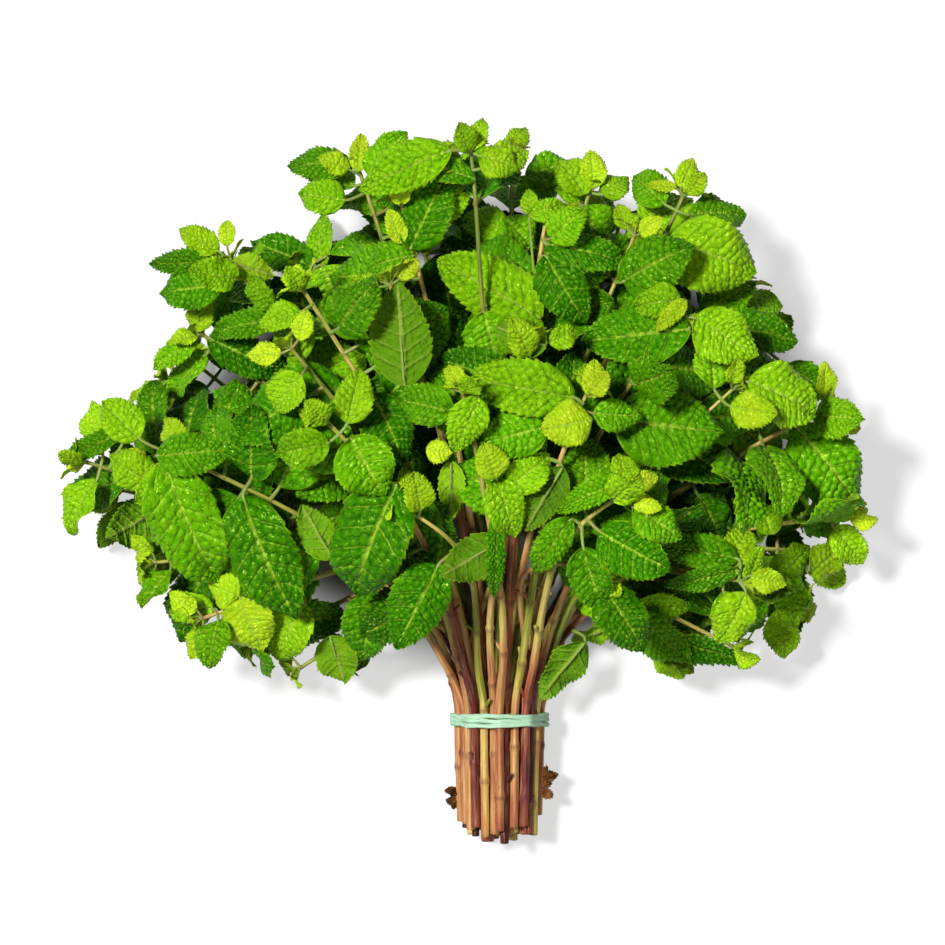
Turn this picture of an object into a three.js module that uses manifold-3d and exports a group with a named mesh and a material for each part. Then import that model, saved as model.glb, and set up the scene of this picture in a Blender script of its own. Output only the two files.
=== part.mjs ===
// A bunch of mint that lies on a flat surface: leafy sprigs fan out of a rubber band wound twice round
// their stems. Millimetres, +Z up from the surface, cut ends towards -Y, leafy crown towards +Y.
import * as THREE from "three";
import { mergeVertices } from "three/addons/utils/BufferGeometryUtils.js";
import Module from "manifold-3d";

const wasm = await Module();
wasm.setup();

// ---------------------------------------------------------------- driving dimensions

const CROWN_HALF_WIDTH = 148; // from the bunch's middle line to the furthest sprig tip
const CROWN_LENGTH = 206; // from the band to the furthest sprig tip
const CROWN_DEPTH = 88; // height of the upper sprig tips over the surface
const TAIL_LENGTH = 43; // from the band's lower edge to the longest cut end
const BARE_LENGTH = 74; // height above the band to which the stems have lost their leaves

const STEM_DIAMETER = 3.5; // across the corners of the square stem, at the cut end
const STEM_TIP_DIAMETER = 1.5;
const STEM_GAP = 0.3; // between neighbouring stems in the bundle
const BUNDLE_FLATTENING = 0.86; // height over width of the tied bundle
const TAIL_TAPER = 0.93; // how much closer the stems stand at their cut ends

const BAND_TURN_WIDTH = 2.5; // each of the two turns, along the stems
const BAND_THICKNESS = 1.2;
const BAND_GAP = 0.4; // between the band and the stems

const LEAF_LENGTH = 40; // blade of a full-grown leaf
const LEAF_WIDTH = 27;
const LEAF_THICKNESS = 1.1; // at the midrib
const PETIOLE_DIAMETER = 1.5;
const PETIOLE_LENGTH = 5;
const SURFACE_GAP = 0.3; // least height of a leaf over the surface
const LEAF_GAP = 0.35; // least space between two leaves, or a leaf and another sprig's stem

// ---------------------------------------------------------------- proportions of a sprig

const BARE_NARROWING = 1.9; // height over half-width of the bare part
const BARE_FOOT = 8; // no leaf springs lower than this above the band
const LOW_SHARE = 0.45; // sprigs that end lower than this share of the crown arch over and droop
const CROWN_FOOT = 13; // least height of a paired leaf's tip above the band
const ARC_STEPS = 8; // straight lengths that a stem is made of, above the band
const SMALLEST_STEM = 0.84; // thinnest stem of the bunch over the thickest
const OUTER_TRIES = 60; // places tried for a leaf on the outside of the crown
const PETIOLE_REACH = 9; // furthest that an outer leaf usually stands from its stem, seen from above
const PAIR_TRIES = 16; // places tried for a leaf of a pair
const PUSH_ROUNDS = 260; // rounds in which stems that cross are pushed apart
const FAN_ROOM = 0.9; // spare space between two stems' middle lines in the fan
const COVER_DEPTH = 3; // how far below a leaf an outer one may lie and still count as covered
const LEAST_COVER = 17; // length from which a leaf stays off the outer leaves' tops
const COVER_SHARE = 0.24; // of two leaves' lengths, by which their middles then stand apart
const LEAST_OVERLAP = 1e-6; // of two solids, in cubic mm
const WIDE_HALF = 1.06; // a blade's wide half over the mean, its narrow half is as much under
// Leaf pairs, from the tip down: distance from the tip in mm, blade size over a full-grown one.
const PAIRS = [
  [1, 0.3],
  [7, 0.52],
  [19, 0.78],
  [38, 0.95],
  [61, 1.05],
  [86, 1.0],
  [112, 0.95],
  [28, 0.8],
  [136, 0.95],
  [50, 0.95],
];

// Sprig tips: across the bunch, along it and above the surface, as shares of the crown's three sizes.
const UPPER_TIPS = [
  [-0.35, 0.97, 0.6],
  [-0.07, 0.99, 0.95],
  [0.03, 0.985, 0.55],
  [0.22, 0.93, 0.62],
  [0.45, 0.92, 0.7],
  [-0.48, 0.75, 0.9],
  [-0.27, 0.76, 1.0],
  [-0.42, 0.52, 1.05],
  [-0.03, 0.43, 1.0],
  [-0.09, 0.57, 1.15],
  [0.09, 0.66, 1.02],
  [0.21, 0.57, 1.05],
  [0.42, 0.7, 0.9],
  [0.31, 0.4, 1.0],
  [0.57, 0.58, 0.85],
  [0.59, 0.24, 0.75],
  [-0.79, 0.46, 0.72],
  [-0.24, 0.9, 0.8],
  [0.11, 0.87, 0.82],
  [0.33, 0.85, 0.75],
  [-0.51, 0.65, 0.95],
  [0.24, 0.27, 0.85],
  [-0.24, 0.37, 0.95],
];
const RIM_TIPS = [
  [-0.23, 0.95, 0.4],
  [0.3, 0.88, 0.4],
  [0.6, 0.77, 0.5],
  [0.66, 0.68, 0.3],
  [0.81, 0.55, 0.52],
  [0.86, 0.36, 0.42],
  [0.82, 0.29, 0.2],
  [0.74, 0.2, 0.3],
  [0.58, 0.12, 0.36],
  [0.44, 0.11, 0.16],
  [-0.66, 0.8, 0.6],
  [-0.74, 0.68, 0.42],
  [-0.83, 0.6, 0.25],
  [-1.03, 0.45, 0.42],
  [-0.95, 0.4, 0.18],
  [-0.86, 0.27, 0.34],
  [-0.74, 0.17, 0.46],
  [-0.62, 0.12, 0.22],
  [-0.5, 0.08, 0.34],
  [-0.36, 0.1, 0.2],
];
const LOWER_TIPS = [
  [-0.75, 0.62, 0.1],
  [-0.5, 0.8, 0.14],
  [-0.2, 0.88, 0.1],
  [0.12, 0.85, 0.14],
  [0.42, 0.78, 0.1],
  [0.68, 0.55, 0.1],
  [0.72, 0.36, 0.1],
  [-0.7, 0.34, 0.1],
];
const BARE_TIPS = [
  [0.13, 0.22, 0.5],
  [-0.1, 0.3, 0.62],
];

const BACK = -1; // a leaf that shows its pale underside
// Large leaves on the outside of the crown, the outermost first: where the blade starts, across the bunch
// and along it as shares of the crown's sizes, the heading of the blade in degrees from the bunch's
// middle line, turning towards +X, and the blade's length and width in mm.
const OUTER_LEAVES = [
  [-0.36, 0.97, -85, 25, 11],
  [-0.35, 0.96, 5, 14, 7],
  [-0.12, 0.99, -110, 35, 16],
  [-0.06, 0.94, -70, 22, 9],
  [-0.22, 0.82, 25, 30, 17],
  [-0.38, 0.91, -80, 18, 13],
  [-0.44, 0.8, -10, 21, 10],
  [-0.43, 0.82, 65, 23, 10],
  [-0.24, 0.83, -20, 13, 7],
  [-0.21, 0.81, -100, 18, 13],
  [-0.44, 0.8, 160, 16, 20],
  [-0.67, 0.83, 0, 9, 6],
  [-0.69, 0.82, -60, 16, 9],
  [-0.68, 0.8, -90, 27, 9],
  [-0.68, 0.76, -95, 25, 15],
  [-0.47, 0.8, -65, 24, 14],
  [-0.66, 0.8, 105, 16, 9, BACK],
  [-0.75, 0.68, 15, 16, 10],
  [-0.74, 0.67, -120, 20, 9],
  [-0.56, 0.72, -45, 15, 9],
  [-0.55, 0.72, 120, 12, 9],
  [-0.54, 0.7, -95, 27, 10],
  [-0.72, 0.67, 115, 31, 14],
  [-0.5, 0.65, 130, 29, 22],
  [-0.48, 0.6, -140, 18, 14],
  [-0.23, 0.58, -5, 37, 22, BACK],
  [-0.14, 0.82, 175, 29, 19],
  [-0.32, 0.68, 165, 23, 14],
  [-0.07, 0.99, 15, 13, 7],
  [-0.07, 0.99, -25, 10, 6],
  [0.02, 0.99, 25, 13, 8],
  [-0.05, 0.98, 105, 14, 12],
  [0.04, 0.92, 75, 16, 13],
  [0.07, 0.88, 0, 9, 6],
  [0.07, 0.88, 70, 13, 8],
  [0.02, 0.86, -75, 18, 12],
  [0.01, 0.88, 135, 16, 14],
  [0.21, 0.92, -35, 16, 12],
  [0.23, 0.93, -5, 14, 9],
  [0.25, 0.92, 50, 12, 10],
  [0.44, 0.92, -145, 27, 19],
  [0.44, 0.93, 25, 12, 8],
  [0.43, 0.93, -80, 10, 4],
  [0.41, 0.84, 110, 35, 27],
  [0.2, 0.9, 155, 16, 19],
  [0.11, 0.83, 100, 30, 13],
  [0.1, 0.7, -60, 41, 22],
  [0.11, 0.81, 150, 27, 17],
  [0.44, 0.73, -95, 17, 12],
  [0.45, 0.73, -135, 15, 6],
  [0.44, 0.74, 55, 7, 6],
  [0.49, 0.71, 60, 23, 12],
  [0.47, 0.7, 120, 25, 19],
  [0.46, 0.68, -95, 38, 21],
  [0.11, 0.65, -70, 19, 13, BACK],
  [0.15, 0.69, 175, 19, 15],
  [-0.04, 0.71, 165, 19, 17],
  [0.18, 0.56, -80, 40, 19],
  [0.22, 0.56, 10, 14, 9],
  [0.6, 0.59, 110, 28, 22],
  [0.67, 0.61, 30, 16, 15],
  [0.71, 0.62, 120, 24, 12],
  [0.28, 0.52, 95, 37, 27],
  [0.58, 0.51, 110, 23, 16],
  [0.73, 0.51, 140, 36, 25],
  [0.22, 0.52, -100, 18, 16],
  [0.11, 0.51, -105, 23, 17],
  [-0.05, 0.56, -155, 20, 13],
  [-0.01, 0.42, -20, 14, 12],
  [-0.01, 0.42, 160, 22, 14],
  [0.15, 0.44, -150, 25, 12, BACK],
  [0, 0.31, -120, 23, 15, BACK],
  [-0.01, 0.36, 180, 31, 6],
  [-0.12, 0.45, 180, 19, 9, BACK],
  [-0.25, 0.41, -155, 46, 27],
  [-0.21, 0.42, -180, 44, 22],
  [-0.23, 0.28, 160, 25, 17],
  [-0.36, 0.49, 150, 23, 21],
  [-0.31, 0.57, 155, 28, 19],
  [-0.18, 0.47, 95, 9, 8],
  [-0.56, 0.44, 135, 27, 17, BACK],
  [-0.33, 0.37, -110, 20, 15],
  [-0.41, 0.28, -30, 22, 13, BACK],
  [-0.82, 0.45, 160, 51, 25],
  [-0.63, 0.39, 160, 48, 24],
  [-0.84, 0.46, 85, 27, 15],
  [-0.88, 0.49, -45, 18, 14],
  [-0.93, 0.5, -110, 25, 8],
  [-0.88, 0.47, -145, 14, 10],
  [-0.85, 0.41, -65, 21, 15],
  [-0.83, 0.35, -170, 26, 17, BACK],
  [-0.64, 0.21, -70, 12, 13],
  [-0.64, 0.21, 160, 21, 20],
  [-0.55, 0.16, 85, 25, 18],
  [-0.53, 0.13, -175, 14, 5],
  [-0.42, 0.14, 165, 18, 16, BACK],
  [-0.37, 0.2, 115, 30, 12],
  [0.29, 0.3, -130, 25, 22],
  [0.17, 0.35, -145, 24, 11],
  [0.28, 0.2, -80, 20, 14],
  [0.21, 0.13, -145, 27, 14, BACK],
  [0.28, 0.16, -130, 17, 9, BACK],
  [0.36, 0.19, 170, 17, 11],
  [0.4, 0.14, 110, 33, 11],
  [0.34, 0.2, 100, 21, 11],
  [0.58, 0.28, -80, 29, 12],
  [0.58, 0.26, -105, 26, 9],
  [0.6, 0.22, -155, 21, 14],
  [0.6, 0.24, 25, 13, 8],
  [0.61, 0.25, 105, 13, 9],
  [0.68, 0.24, 55, 18, 15],
  [0.72, 0.24, 165, 17, 15],
  [0.77, 0.25, 55, 17, 15],
  [0.67, 0.32, -15, 13, 11],
  [0.57, 0.33, -55, 31, 17],
  [0.49, 0.39, 150, 20, 17],
  [0.32, 0.37, 120, 20, 13],
  [0.3, 0.42, -115, 26, 9],
  [0.32, 0.41, 70, 9, 7],
  [0.32, 0.42, -15, 7, 5],
  [-0.18, 0.22, -128, 30, 18],
  [-0.15, 0.27, -153, 32, 20],
  [-0.3, 0.22, -165, 26, 18],
  [0.25, 0.23, 146, 26, 17],
  [0.34, 0.18, 138, 27, 16],
  [0.2, 0.3, 165, 24, 15],
  [-0.48, 0.2, -150, 25, 17],
];

// ---------------------------------------------------------------- small helpers

// The same share between 0 and 1 each time for the same two whole numbers.
function chance(a, b) {
  const s = Math.sin(a * 127.1 + b * 311.7) * 43758.5453;
  return s - Math.floor(s);
}

function spread(a, b, reach) {
  return (chance(a, b) * 2 - 1) * reach;
}

function toSolid(geometry) {
  const bare = geometry.clone();
  bare.deleteAttribute("normal");
  bare.deleteAttribute("uv");
  const merged = mergeVertices(bare, 1e-4);
  return new wasm.Manifold(
    new wasm.Mesh({
      numProp: 3,
      vertProperties: new Float32Array(merged.attributes.position.array),
      triVerts: new Uint32Array(merged.index.array),
    }),
  );
}

function toGeometry(solid) {
  const mesh = solid.getMesh();
  const places = new Float32Array(mesh.numVert * 3);
  for (let i = 0; i < mesh.numVert; i++) {
    const start = i * mesh.numProp;
    places.set(mesh.vertProperties.subarray(start, start + 3), i * 3);
  }
  const geometry = new THREE.BufferGeometry();
  geometry.setAttribute("position", new THREE.BufferAttribute(places, 3));
  geometry.setIndex(new THREE.BufferAttribute(new Uint32Array(mesh.triVerts), 1));
  geometry.computeVertexNormals();
  return geometry;
}

// ---------------------------------------------------------------- the tied bundle

const tips = [...UPPER_TIPS, ...RIM_TIPS, ...LOWER_TIPS, ...BARE_TIPS];
const pitch = STEM_DIAMETER + STEM_GAP;

// Places of the stems in the band, as a close-packed oval of rows.
function bundlePlaces(count) {
  const places = [];
  const rowHeight = (pitch * Math.sqrt(3)) / 2;
  const reach = Math.ceil(Math.sqrt(count));
  for (let row = -reach; row <= reach; row++) {
    for (let column = -reach; column <= reach; column++) {
      const x = (column + (row % 2 === 0 ? 0 : 0.5)) * pitch;
      const z = row * rowHeight;
      places.push({ x, z, row, far: Math.hypot(x, z / BUNDLE_FLATTENING) });
    }
  }
  places.sort((a, b) => a.far - b.far);
  return places.slice(0, count);
}

// The highest sprigs take the top row of the bundle, and in each row they stand in the order they fan out.
function shareOutPlaces() {
  const places = bundlePlaces(tips.length);
  const rows = [...new Set(places.map((p) => p.row))].sort((a, b) => b - a);
  const byHeight = tips.map((tip, index) => ({ tip, index }));
  const height = (s) => s.tip[2] - 0.25 * s.tip[1];
  byHeight.sort((a, b) => height(b) - height(a));
  const shared = [];
  for (const row of rows) {
    const open = places.filter((p) => p.row === row).sort((a, b) => a.x - b.x);
    const chosen = byHeight.splice(0, open.length);
    chosen.sort((a, b) => Math.atan2(a.tip[0], a.tip[1]) - Math.atan2(b.tip[0], b.tip[1]));
    chosen.forEach((sprig, i) => (shared[sprig.index] = open[i]));
  }
  return shared;
}

const places = shareOutPlaces();
const lowestPlace = Math.min(...places.map((p) => p.z));
const bundleHeight = STEM_DIAMETER / 2 + BAND_GAP + BAND_THICKNESS - lowestPlace;

function stemRadius(index) {
  return (STEM_DIAMETER / 2) * (SMALLEST_STEM + (1 - SMALLEST_STEM) * chance(index, 1));
}

// A closed outline drawn taut round the stems' circles, each grown by some allowance.
function tautOutline(allowance, sides) {
  const outline = [];
  for (let i = 0; i < sides; i++) {
    const angle = (i / sides) * Math.PI * 2;
    const way = new THREE.Vector2(Math.cos(angle), Math.sin(angle));
    const reach = (p) => p.x * way.x + p.z * way.y;
    const outer = places.reduce((a, b) => (reach(b) > reach(a) ? b : a));
    const radius = STEM_DIAMETER / 2 + allowance;
    outline.push(new THREE.Vector2(outer.x, outer.z).addScaledVector(way, radius));
  }
  return outline;
}

function rubberBand() {
  const sides = 36;
  const shape = new THREE.Shape(tautOutline(BAND_GAP + BAND_THICKNESS, sides));
  shape.holes.push(new THREE.Path(tautOutline(BAND_GAP, sides)));
  const turn = new THREE.ExtrudeGeometry(shape, {
    depth: BAND_TURN_WIDTH * 2,
    bevelEnabled: false,
  });
  // The outline is drawn in X and Z, and its thickness runs along Y.
  turn.rotateX(Math.PI / 2);
  turn.translate(0, 0, bundleHeight);
  return turn;
}

// ---------------------------------------------------------------- stems

function tipOf(index) {
  const [across, along, high] = tips[index];
  return new THREE.Vector3(
    across * CROWN_HALF_WIDTH,
    along * CROWN_LENGTH,
    high * CROWN_DEPTH,
  );
}

// Points of one stem, from its cut end through the band to its tip.
function stemPoints(index) {
  const place = places[index];
  const band = new THREE.Vector3(place.x, 0, place.z + bundleHeight);
  const bandFoot = band.clone().setY(-2 * BAND_TURN_WIDTH - BAND_GAP);
  band.y = BAND_GAP;
  const cut = TAIL_LENGTH * (1 - 0.16 * chance(index, 2) - 0.1 * (Math.abs(place.x) / pitch / 4) ** 2);
  const foot = new THREE.Vector3(
    place.x * TAIL_TAPER,
    bandFoot.y - cut,
    place.z * TAIL_TAPER + bundleHeight - BAND_GAP - BAND_THICKNESS,
  );
  const tip = tipOf(index);
  const way = tip.clone().sub(band);
  const length = way.length();
  way.normalize();
  const lift = Math.max(0, (tip.z - band.z) / length);
  const droop = Math.max(0, 1 - tip.y / CROWN_LENGTH / LOW_SHARE);
  const start = new THREE.Vector3(0, 1, 0.5 * lift).lerp(way, 0.4 - 0.38 * droop).normalize();
  const outward = new THREE.Vector3(tip.x * 1.1, tip.y - CROWN_LENGTH * 0.35, 0).normalize();
  const end = way.clone().add(outward).add(new THREE.Vector3(0, -droop, -0.9 * lift)).normalize();
  const arc = new THREE.CubicBezierCurve3(
    band,
    band.clone().addScaledVector(start, length * (0.45 + 0.55 * droop)),
    tip.clone().addScaledVector(end, -length * (0.32 + 0.4 * droop)),
    tip,
  );
  return [foot, bandFoot, ...arc.getPoints(ARC_STEPS)];
}

// Stems that would cross are pushed aside where they have left the band, until each has room.
function spreadStems(lines) {
  const held = 3; // the points at the cut end and in the band stay
  const room = pitch + FAN_ROOM;
  const drawn = lines.map((line) => line.map((point) => point.clone()));
  for (let round = 0; round < PUSH_ROUNDS; round++) {
    let crossings = 0;
    for (let a = 0; a < lines.length; a++) {
      for (let b = a + 1; b < lines.length; b++) {
        crossings += pushApart(lines[a], lines[b], held, room);
      }
    }
    lines.forEach((line, index) => {
      const moved = (i) => line[i].clone().sub(drawn[index][i]);
      for (let i = held; i < line.length - 1; i++) {
        const middle = moved(i - 1).add(moved(i + 1)).multiplyScalar(0.5);
        line[i].copy(moved(i).lerp(middle, 0.06).add(drawn[index][i]));
      }
      for (const point of line) point.z = Math.max(point.z, STEM_DIAMETER * 0.75);
    });
    if (crossings === 0) break;
  }
}

function pushApart(one, other, held, room) {
  let pushed = 0;
  for (let i = held - 1; i < one.length - 1; i++) {
    for (let j = held - 1; j < other.length - 1; j++) {
      if (one[i].distanceTo(other[j]) > 60) continue;
      const near = nearestOnSegments(one[i], one[i + 1], other[j], other[j + 1]);
      const gap = room - near.distance;
      if (gap <= 0) continue;
      if (near.distance < 1e-3) near.way.set(0, 0, 1);
      pushed++;
      const step = near.way.clone().multiplyScalar(gap * 0.55);
      const move = (line, k, share, sign) => {
        if (k >= held) line[k].addScaledVector(step, sign * share);
      };
      move(one, i, 1 - near.s, -1);
      move(one, i + 1, near.s, -1);
      move(other, j, 1 - near.t, 1);
      move(other, j + 1, near.t, 1);
    }
  }
  return pushed;
}

// The nearest points of segments ab and cd, as shares s and t, and the way from the first to the second.
function nearestOnSegments(a, b, c, d) {
  const u = b.clone().sub(a);
  const v = d.clone().sub(c);
  const w = a.clone().sub(c);
  const uu = u.dot(u);
  const vv = v.dot(v);
  const uv = u.dot(v);
  const uw = u.dot(w);
  const vw = v.dot(w);
  const clamp = (x) => Math.min(1, Math.max(0, x));
  const flat = uu * vv - uv * uv;
  let s = flat > 1e-9 ? clamp((uv * vw - vv * uw) / flat) : 0.5;
  const t = clamp((uv * s + vw) / vv);
  s = clamp((uv * t - uw) / uu);
  const way = c.clone().addScaledVector(v, t).sub(a.clone().addScaledVector(u, s));
  const distance = way.length();
  return { s, t, distance, way: way.normalize() };
}

// A smooth curve whose evenly counted points are its own points, so that a section stands at each of them.
class JointedCurve extends THREE.CatmullRomCurve3 {
  getUtoTmapping(share) {
    return share;
  }
}

// How thick a stem is at one of its points, over its thickness at the cut end.
function taper(point, count) {
  return 1 + (STEM_TIP_DIAMETER / STEM_DIAMETER - 1) * (point / count) ** 1.5;
}

// A square section carried along the stem's points, with its size shrinking towards the tip.
function stemGeometry(line, radius) {
  const steps = line.length - 1;
  const square = new THREE.Shape();
  square.moveTo(radius, 0);
  square.lineTo(0, radius);
  square.lineTo(-radius, 0);
  square.lineTo(0, -radius);
  square.closePath();
  const extrudePath = new JointedCurve(line, false, "centripetal");
  const geometry = new THREE.ExtrudeGeometry(square, { steps, extrudePath });
  const position = geometry.attributes.position;
  const corner = new THREE.Vector3();
  for (let i = 0; i < position.count; i++) {
    corner.fromBufferAttribute(position, i);
    const far = line.map((point) => point.distanceTo(corner));
    const near = far.indexOf(Math.min(...far));
    corner.sub(line[near]).multiplyScalar(taper(near, steps)).add(line[near]);
    position.setXYZ(i, corner.x, corner.y, corner.z);
  }
  return geometry;
}

function lengthOf(line) {
  return line.slice(1).reduce((sum, point, i) => sum + point.distanceTo(line[i]), 0);
}

// The place and the direction at a distance from the stem's tip.
function belowTip(line, distance) {
  let left = distance;
  for (let i = line.length - 1; i > 0; i--) {
    const length = line[i].distanceTo(line[i - 1]);
    if (left <= length || i === 1) {
      const along = line[i].clone().sub(line[i - 1]).normalize();
      return { node: line[i].clone().addScaledVector(along, -left), along };
    }
    left -= length;
  }
}

// ---------------------------------------------------------------- leaves

// A leaf's blade is an arc of the given bend with its two halves folded up or down from the midrib.
// Its cage has the stem end of the petiole, a thin ring where the blade begins, two wide rings and a tip.
function leafCage(leaf, growth = 0) {
  const { from, base, way, face, length, width, bend, fold } = leaf;
  const side = new THREE.Vector3().crossVectors(way, face);
  const arc = (share) => {
    const angle = bend * share;
    const run = Math.abs(bend) < 1e-3 ? share : Math.sin(angle) / bend;
    const drop = Math.abs(bend) < 1e-3 ? 0 : (1 - Math.cos(angle)) / bend;
    const centre = base.clone();
    centre.addScaledVector(way, run * length);
    centre.addScaledVector(face, -drop * length);
    const up = face.clone().multiplyScalar(Math.cos(angle));
    up.addScaledVector(way, Math.sin(angle));
    return { centre, up };
  };
  const ring = (share, half, thick) => {
    const { centre, up } = arc(share);
    const edge = (sign, widths) => {
      const reach = half * widths + growth;
      const out = centre.clone().addScaledVector(side, sign * reach * Math.cos(fold));
      return out.addScaledVector(up, reach * Math.sin(fold));
    };
    const rise = thick / 2 + growth;
    return [
      edge(1, WIDE_HALF),
      centre.clone().addScaledVector(up, rise),
      edge(-1, 2 - WIDE_HALF),
      centre.clone().addScaledVector(up, -rise),
    ];
  };
  // The petiole meets the blade at a slant, halfway between their two directions.
  const petiole = base.clone().sub(from).normalize();
  const slant = petiole.add(way).normalize();
  const over = face.clone().addScaledVector(slant, -face.dot(slant)).normalize();
  const across = new THREE.Vector3().crossVectors(slant, over);
  const thin = PETIOLE_DIAMETER / 2;
  const neck = [across, over, across.clone().negate(), over.clone().negate()].map((out) =>
    base.clone().addScaledVector(out, thin),
  );
  return {
    from,
    rings: [
      neck,
      ring(0.24, width * 0.48, LEAF_THICKNESS),
      ring(0.64, width * 0.46, LEAF_THICKNESS),
    ],
    tip: arc(1).centre.addScaledVector(way, growth),
  };
}

// A sphere of four sides and four rows, each point moved to its place on the leaf's cage.
function leafGeometry(leaf) {
  const rows = 4;
  const sides = 4;
  const geometry = new THREE.SphereGeometry(1, sides, rows);
  const cage = leafCage(leaf);
  const position = geometry.attributes.position;
  for (let i = 0; i < position.count; i++) {
    const row = Math.floor(i / (sides + 1));
    const corner = i % (sides + 1) % sides;
    const inner = row > 0 && row < rows;
    const place = inner ? cage.rings[row - 1][corner] : row === 0 ? cage.from : cage.tip;
    position.setXYZ(i, place.x, place.y, place.z);
  }
  return geometry;
}

// The triangles of a leaf's middle sheet, without thickness.
function leafSheet(leaf) {
  const { from, rings, tip } = leafCage(leaf);
  const rows = rings.map(([wide, top, narrow, under]) => [
    wide,
    top.clone().add(under).multiplyScalar(0.5),
    narrow,
  ]);
  const offStem = from.clone().lerp(rows[0][1], 0.4);
  const triangles = [[offStem, rows[0][0], rows[0][2]]];
  for (let i = 0; i < rows.length - 1; i++) {
    for (let k = 0; k < 2; k++) {
      triangles.push([rows[i][k], rows[i][k + 1], rows[i + 1][k]]);
      triangles.push([rows[i][k + 1], rows[i + 1][k + 1], rows[i + 1][k]]);
    }
  }
  const last = rows[rows.length - 1];
  triangles.push([last[0], last[1], tip]);
  triangles.push([last[1], last[2], tip]);
  return triangles;
}

// The triangles of a leaf's solid grown all round by the thickness of a leaf and the least gap.
function leafHull(leaf) {
  const { rings, tip } = leafCage(leaf, LEAF_THICKNESS / 2 + LEAF_GAP);
  const triangles = [];
  for (let i = 0; i < rings.length - 1; i++) {
    for (let k = 0; k < 4; k++) {
      const next = (k + 1) % 4;
      triangles.push([rings[i][k], rings[i][next], rings[i + 1][k]]);
      triangles.push([rings[i][next], rings[i + 1][next], rings[i + 1][k]]);
    }
  }
  const last = rings[rings.length - 1];
  for (let k = 0; k < 4; k++) {
    triangles.push([last[k], last[(k + 1) % 4], tip]);
  }
  return triangles;
}

// The triangles of a stem's stretches, a little fatter than the stem.
function stemSleeve(line, radius) {
  const steps = line.length - 1;
  const sides = 3;
  return line.slice(1).map((end, i) => {
    const start = line[i];
    const way = end.clone().sub(start).normalize();
    const across = new THREE.Vector3(0, 0, 1).cross(way).normalize();
    const over = new THREE.Vector3().crossVectors(way, across);
    const grown = radius * taper(i, steps) + LEAF_THICKNESS / 2 + LEAF_GAP;
    const triangles = [];
    const corner = (point, k) => {
      const angle = (k / sides) * Math.PI * 2;
      const out = point.clone().addScaledVector(across, Math.cos(angle) * grown);
      return out.addScaledVector(over, Math.sin(angle) * grown);
    };
    for (let k = 0; k < sides; k++) {
      triangles.push([corner(start, k), corner(start, k + 1), corner(end, k)]);
      triangles.push([corner(start, k + 1), corner(end, k + 1), corner(end, k)]);
    }
    return triangles;
  });
}

// ---------------------------------------------------------------- finding room for each leaf

function boxOf(triangles) {
  const box = new THREE.Box3();
  for (const triangle of triangles) {
    for (const point of triangle) box.expandByPoint(point);
  }
  return box;
}

const ray = new THREE.Ray();
const hit = new THREE.Vector3();

// Whether any side of one triangle passes through the other.
function cuts(one, other) {
  for (let k = 0; k < 3; k++) {
    const from = one[k];
    const to = one[(k + 1) % 3];
    ray.origin.copy(from);
    ray.direction.copy(to).sub(from);
    const length = ray.direction.length();
    if (length < 1e-9) continue;
    ray.direction.divideScalar(length);
    if (ray.intersectTriangle(other[0], other[1], other[2], false, hit)) {
      if (hit.distanceTo(from) <= length) return true;
    }
  }
  return false;
}

function meet(hull, sheet) {
  for (const a of hull) {
    for (const b of sheet) {
      if (cuts(a, b) || cuts(b, a)) return true;
    }
  }
  return false;
}

const filled = []; // what stands in the crown already: { box, triangles, owner, kind }
const standing = []; // the same as solids: { box, solid, owner }

function fill(triangles, owner, kind) {
  filled.push({ box: boxOf(triangles), triangles, owner, kind });
}

function stand(geometry, owner) {
  geometry.computeBoundingBox();
  standing.push({ box: geometry.boundingBox, solid: toSolid(geometry), owner });
}

// Whether a leaf's solid is clear of every other sprig's solids.
function isClear(leaf, owner) {
  const geometry = leafGeometry(leaf);
  geometry.computeBoundingBox();
  const others = standing.filter(
    (thing) => thing.owner !== owner && thing.box.intersectsBox(geometry.boundingBox),
  );
  const solid = toSolid(geometry);
  return others.every((thing) => solid.intersect(thing.solid).volume() < LEAST_OVERLAP);
}

function hasRoom(leaf, owner) {
  const hull = leafHull(leaf);
  const box = boxOf(hull);
  if (box.min.z < SURFACE_GAP) return false;
  const blade = hull.slice(8); // the part past the widest ring, which stays off its own stem too
  const near = filled.filter((thing) => thing.box.intersectsBox(box));
  for (const thing of near) {
    const own = thing.owner === owner && thing.kind === "stem";
    if (meet(own ? blade : hull, thing.triangles)) return false;
  }
  const start = leaf.from.clone().lerp(leaf.base, 0.4);
  const petiole = [[start, leaf.base, leaf.base.clone().addScaledVector(leaf.face, 0.5)]];
  const span = boxOf(petiole).expandByScalar(PETIOLE_DIAMETER);
  const passed = filled.filter((thing) => thing.box.intersectsBox(span));
  const blocked = passed.some((thing) => {
    const own = thing.owner === owner && thing.kind === "stem";
    return !own && meet(petiole, thing.triangles);
  });
  return !blocked && isClear(leaf, owner);
}

// The way out of the crown at a point, as on the outside of a flattened dome.
function outOfCrown(point) {
  return new THREE.Vector3(
    (point.x + 8) / CROWN_HALF_WIDTH,
    (point.y - CROWN_LENGTH * 0.5) / CROWN_LENGTH / 0.55,
    (point.z - CROWN_DEPTH * 0.3) / CROWN_DEPTH / 0.45,
  ).normalize();
}

const outer = []; // the middle and the length of each leaf on the outside of the crown

function middleOf(leaf) {
  return leaf.base.clone().addScaledVector(leaf.way, leaf.length / 2);
}

// Whether a leaf would hang over one on the outside of the crown.
function covers(leaf) {
  if (leaf.length < LEAST_COVER) return false;
  const middle = middleOf(leaf);
  return outer.some(({ at, length }) => {
    const aside = Math.hypot(at.x - middle.x, at.y - middle.y);
    return at.z < middle.z + COVER_DEPTH && aside < COVER_SHARE * (length + leaf.length);
  });
}

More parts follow.
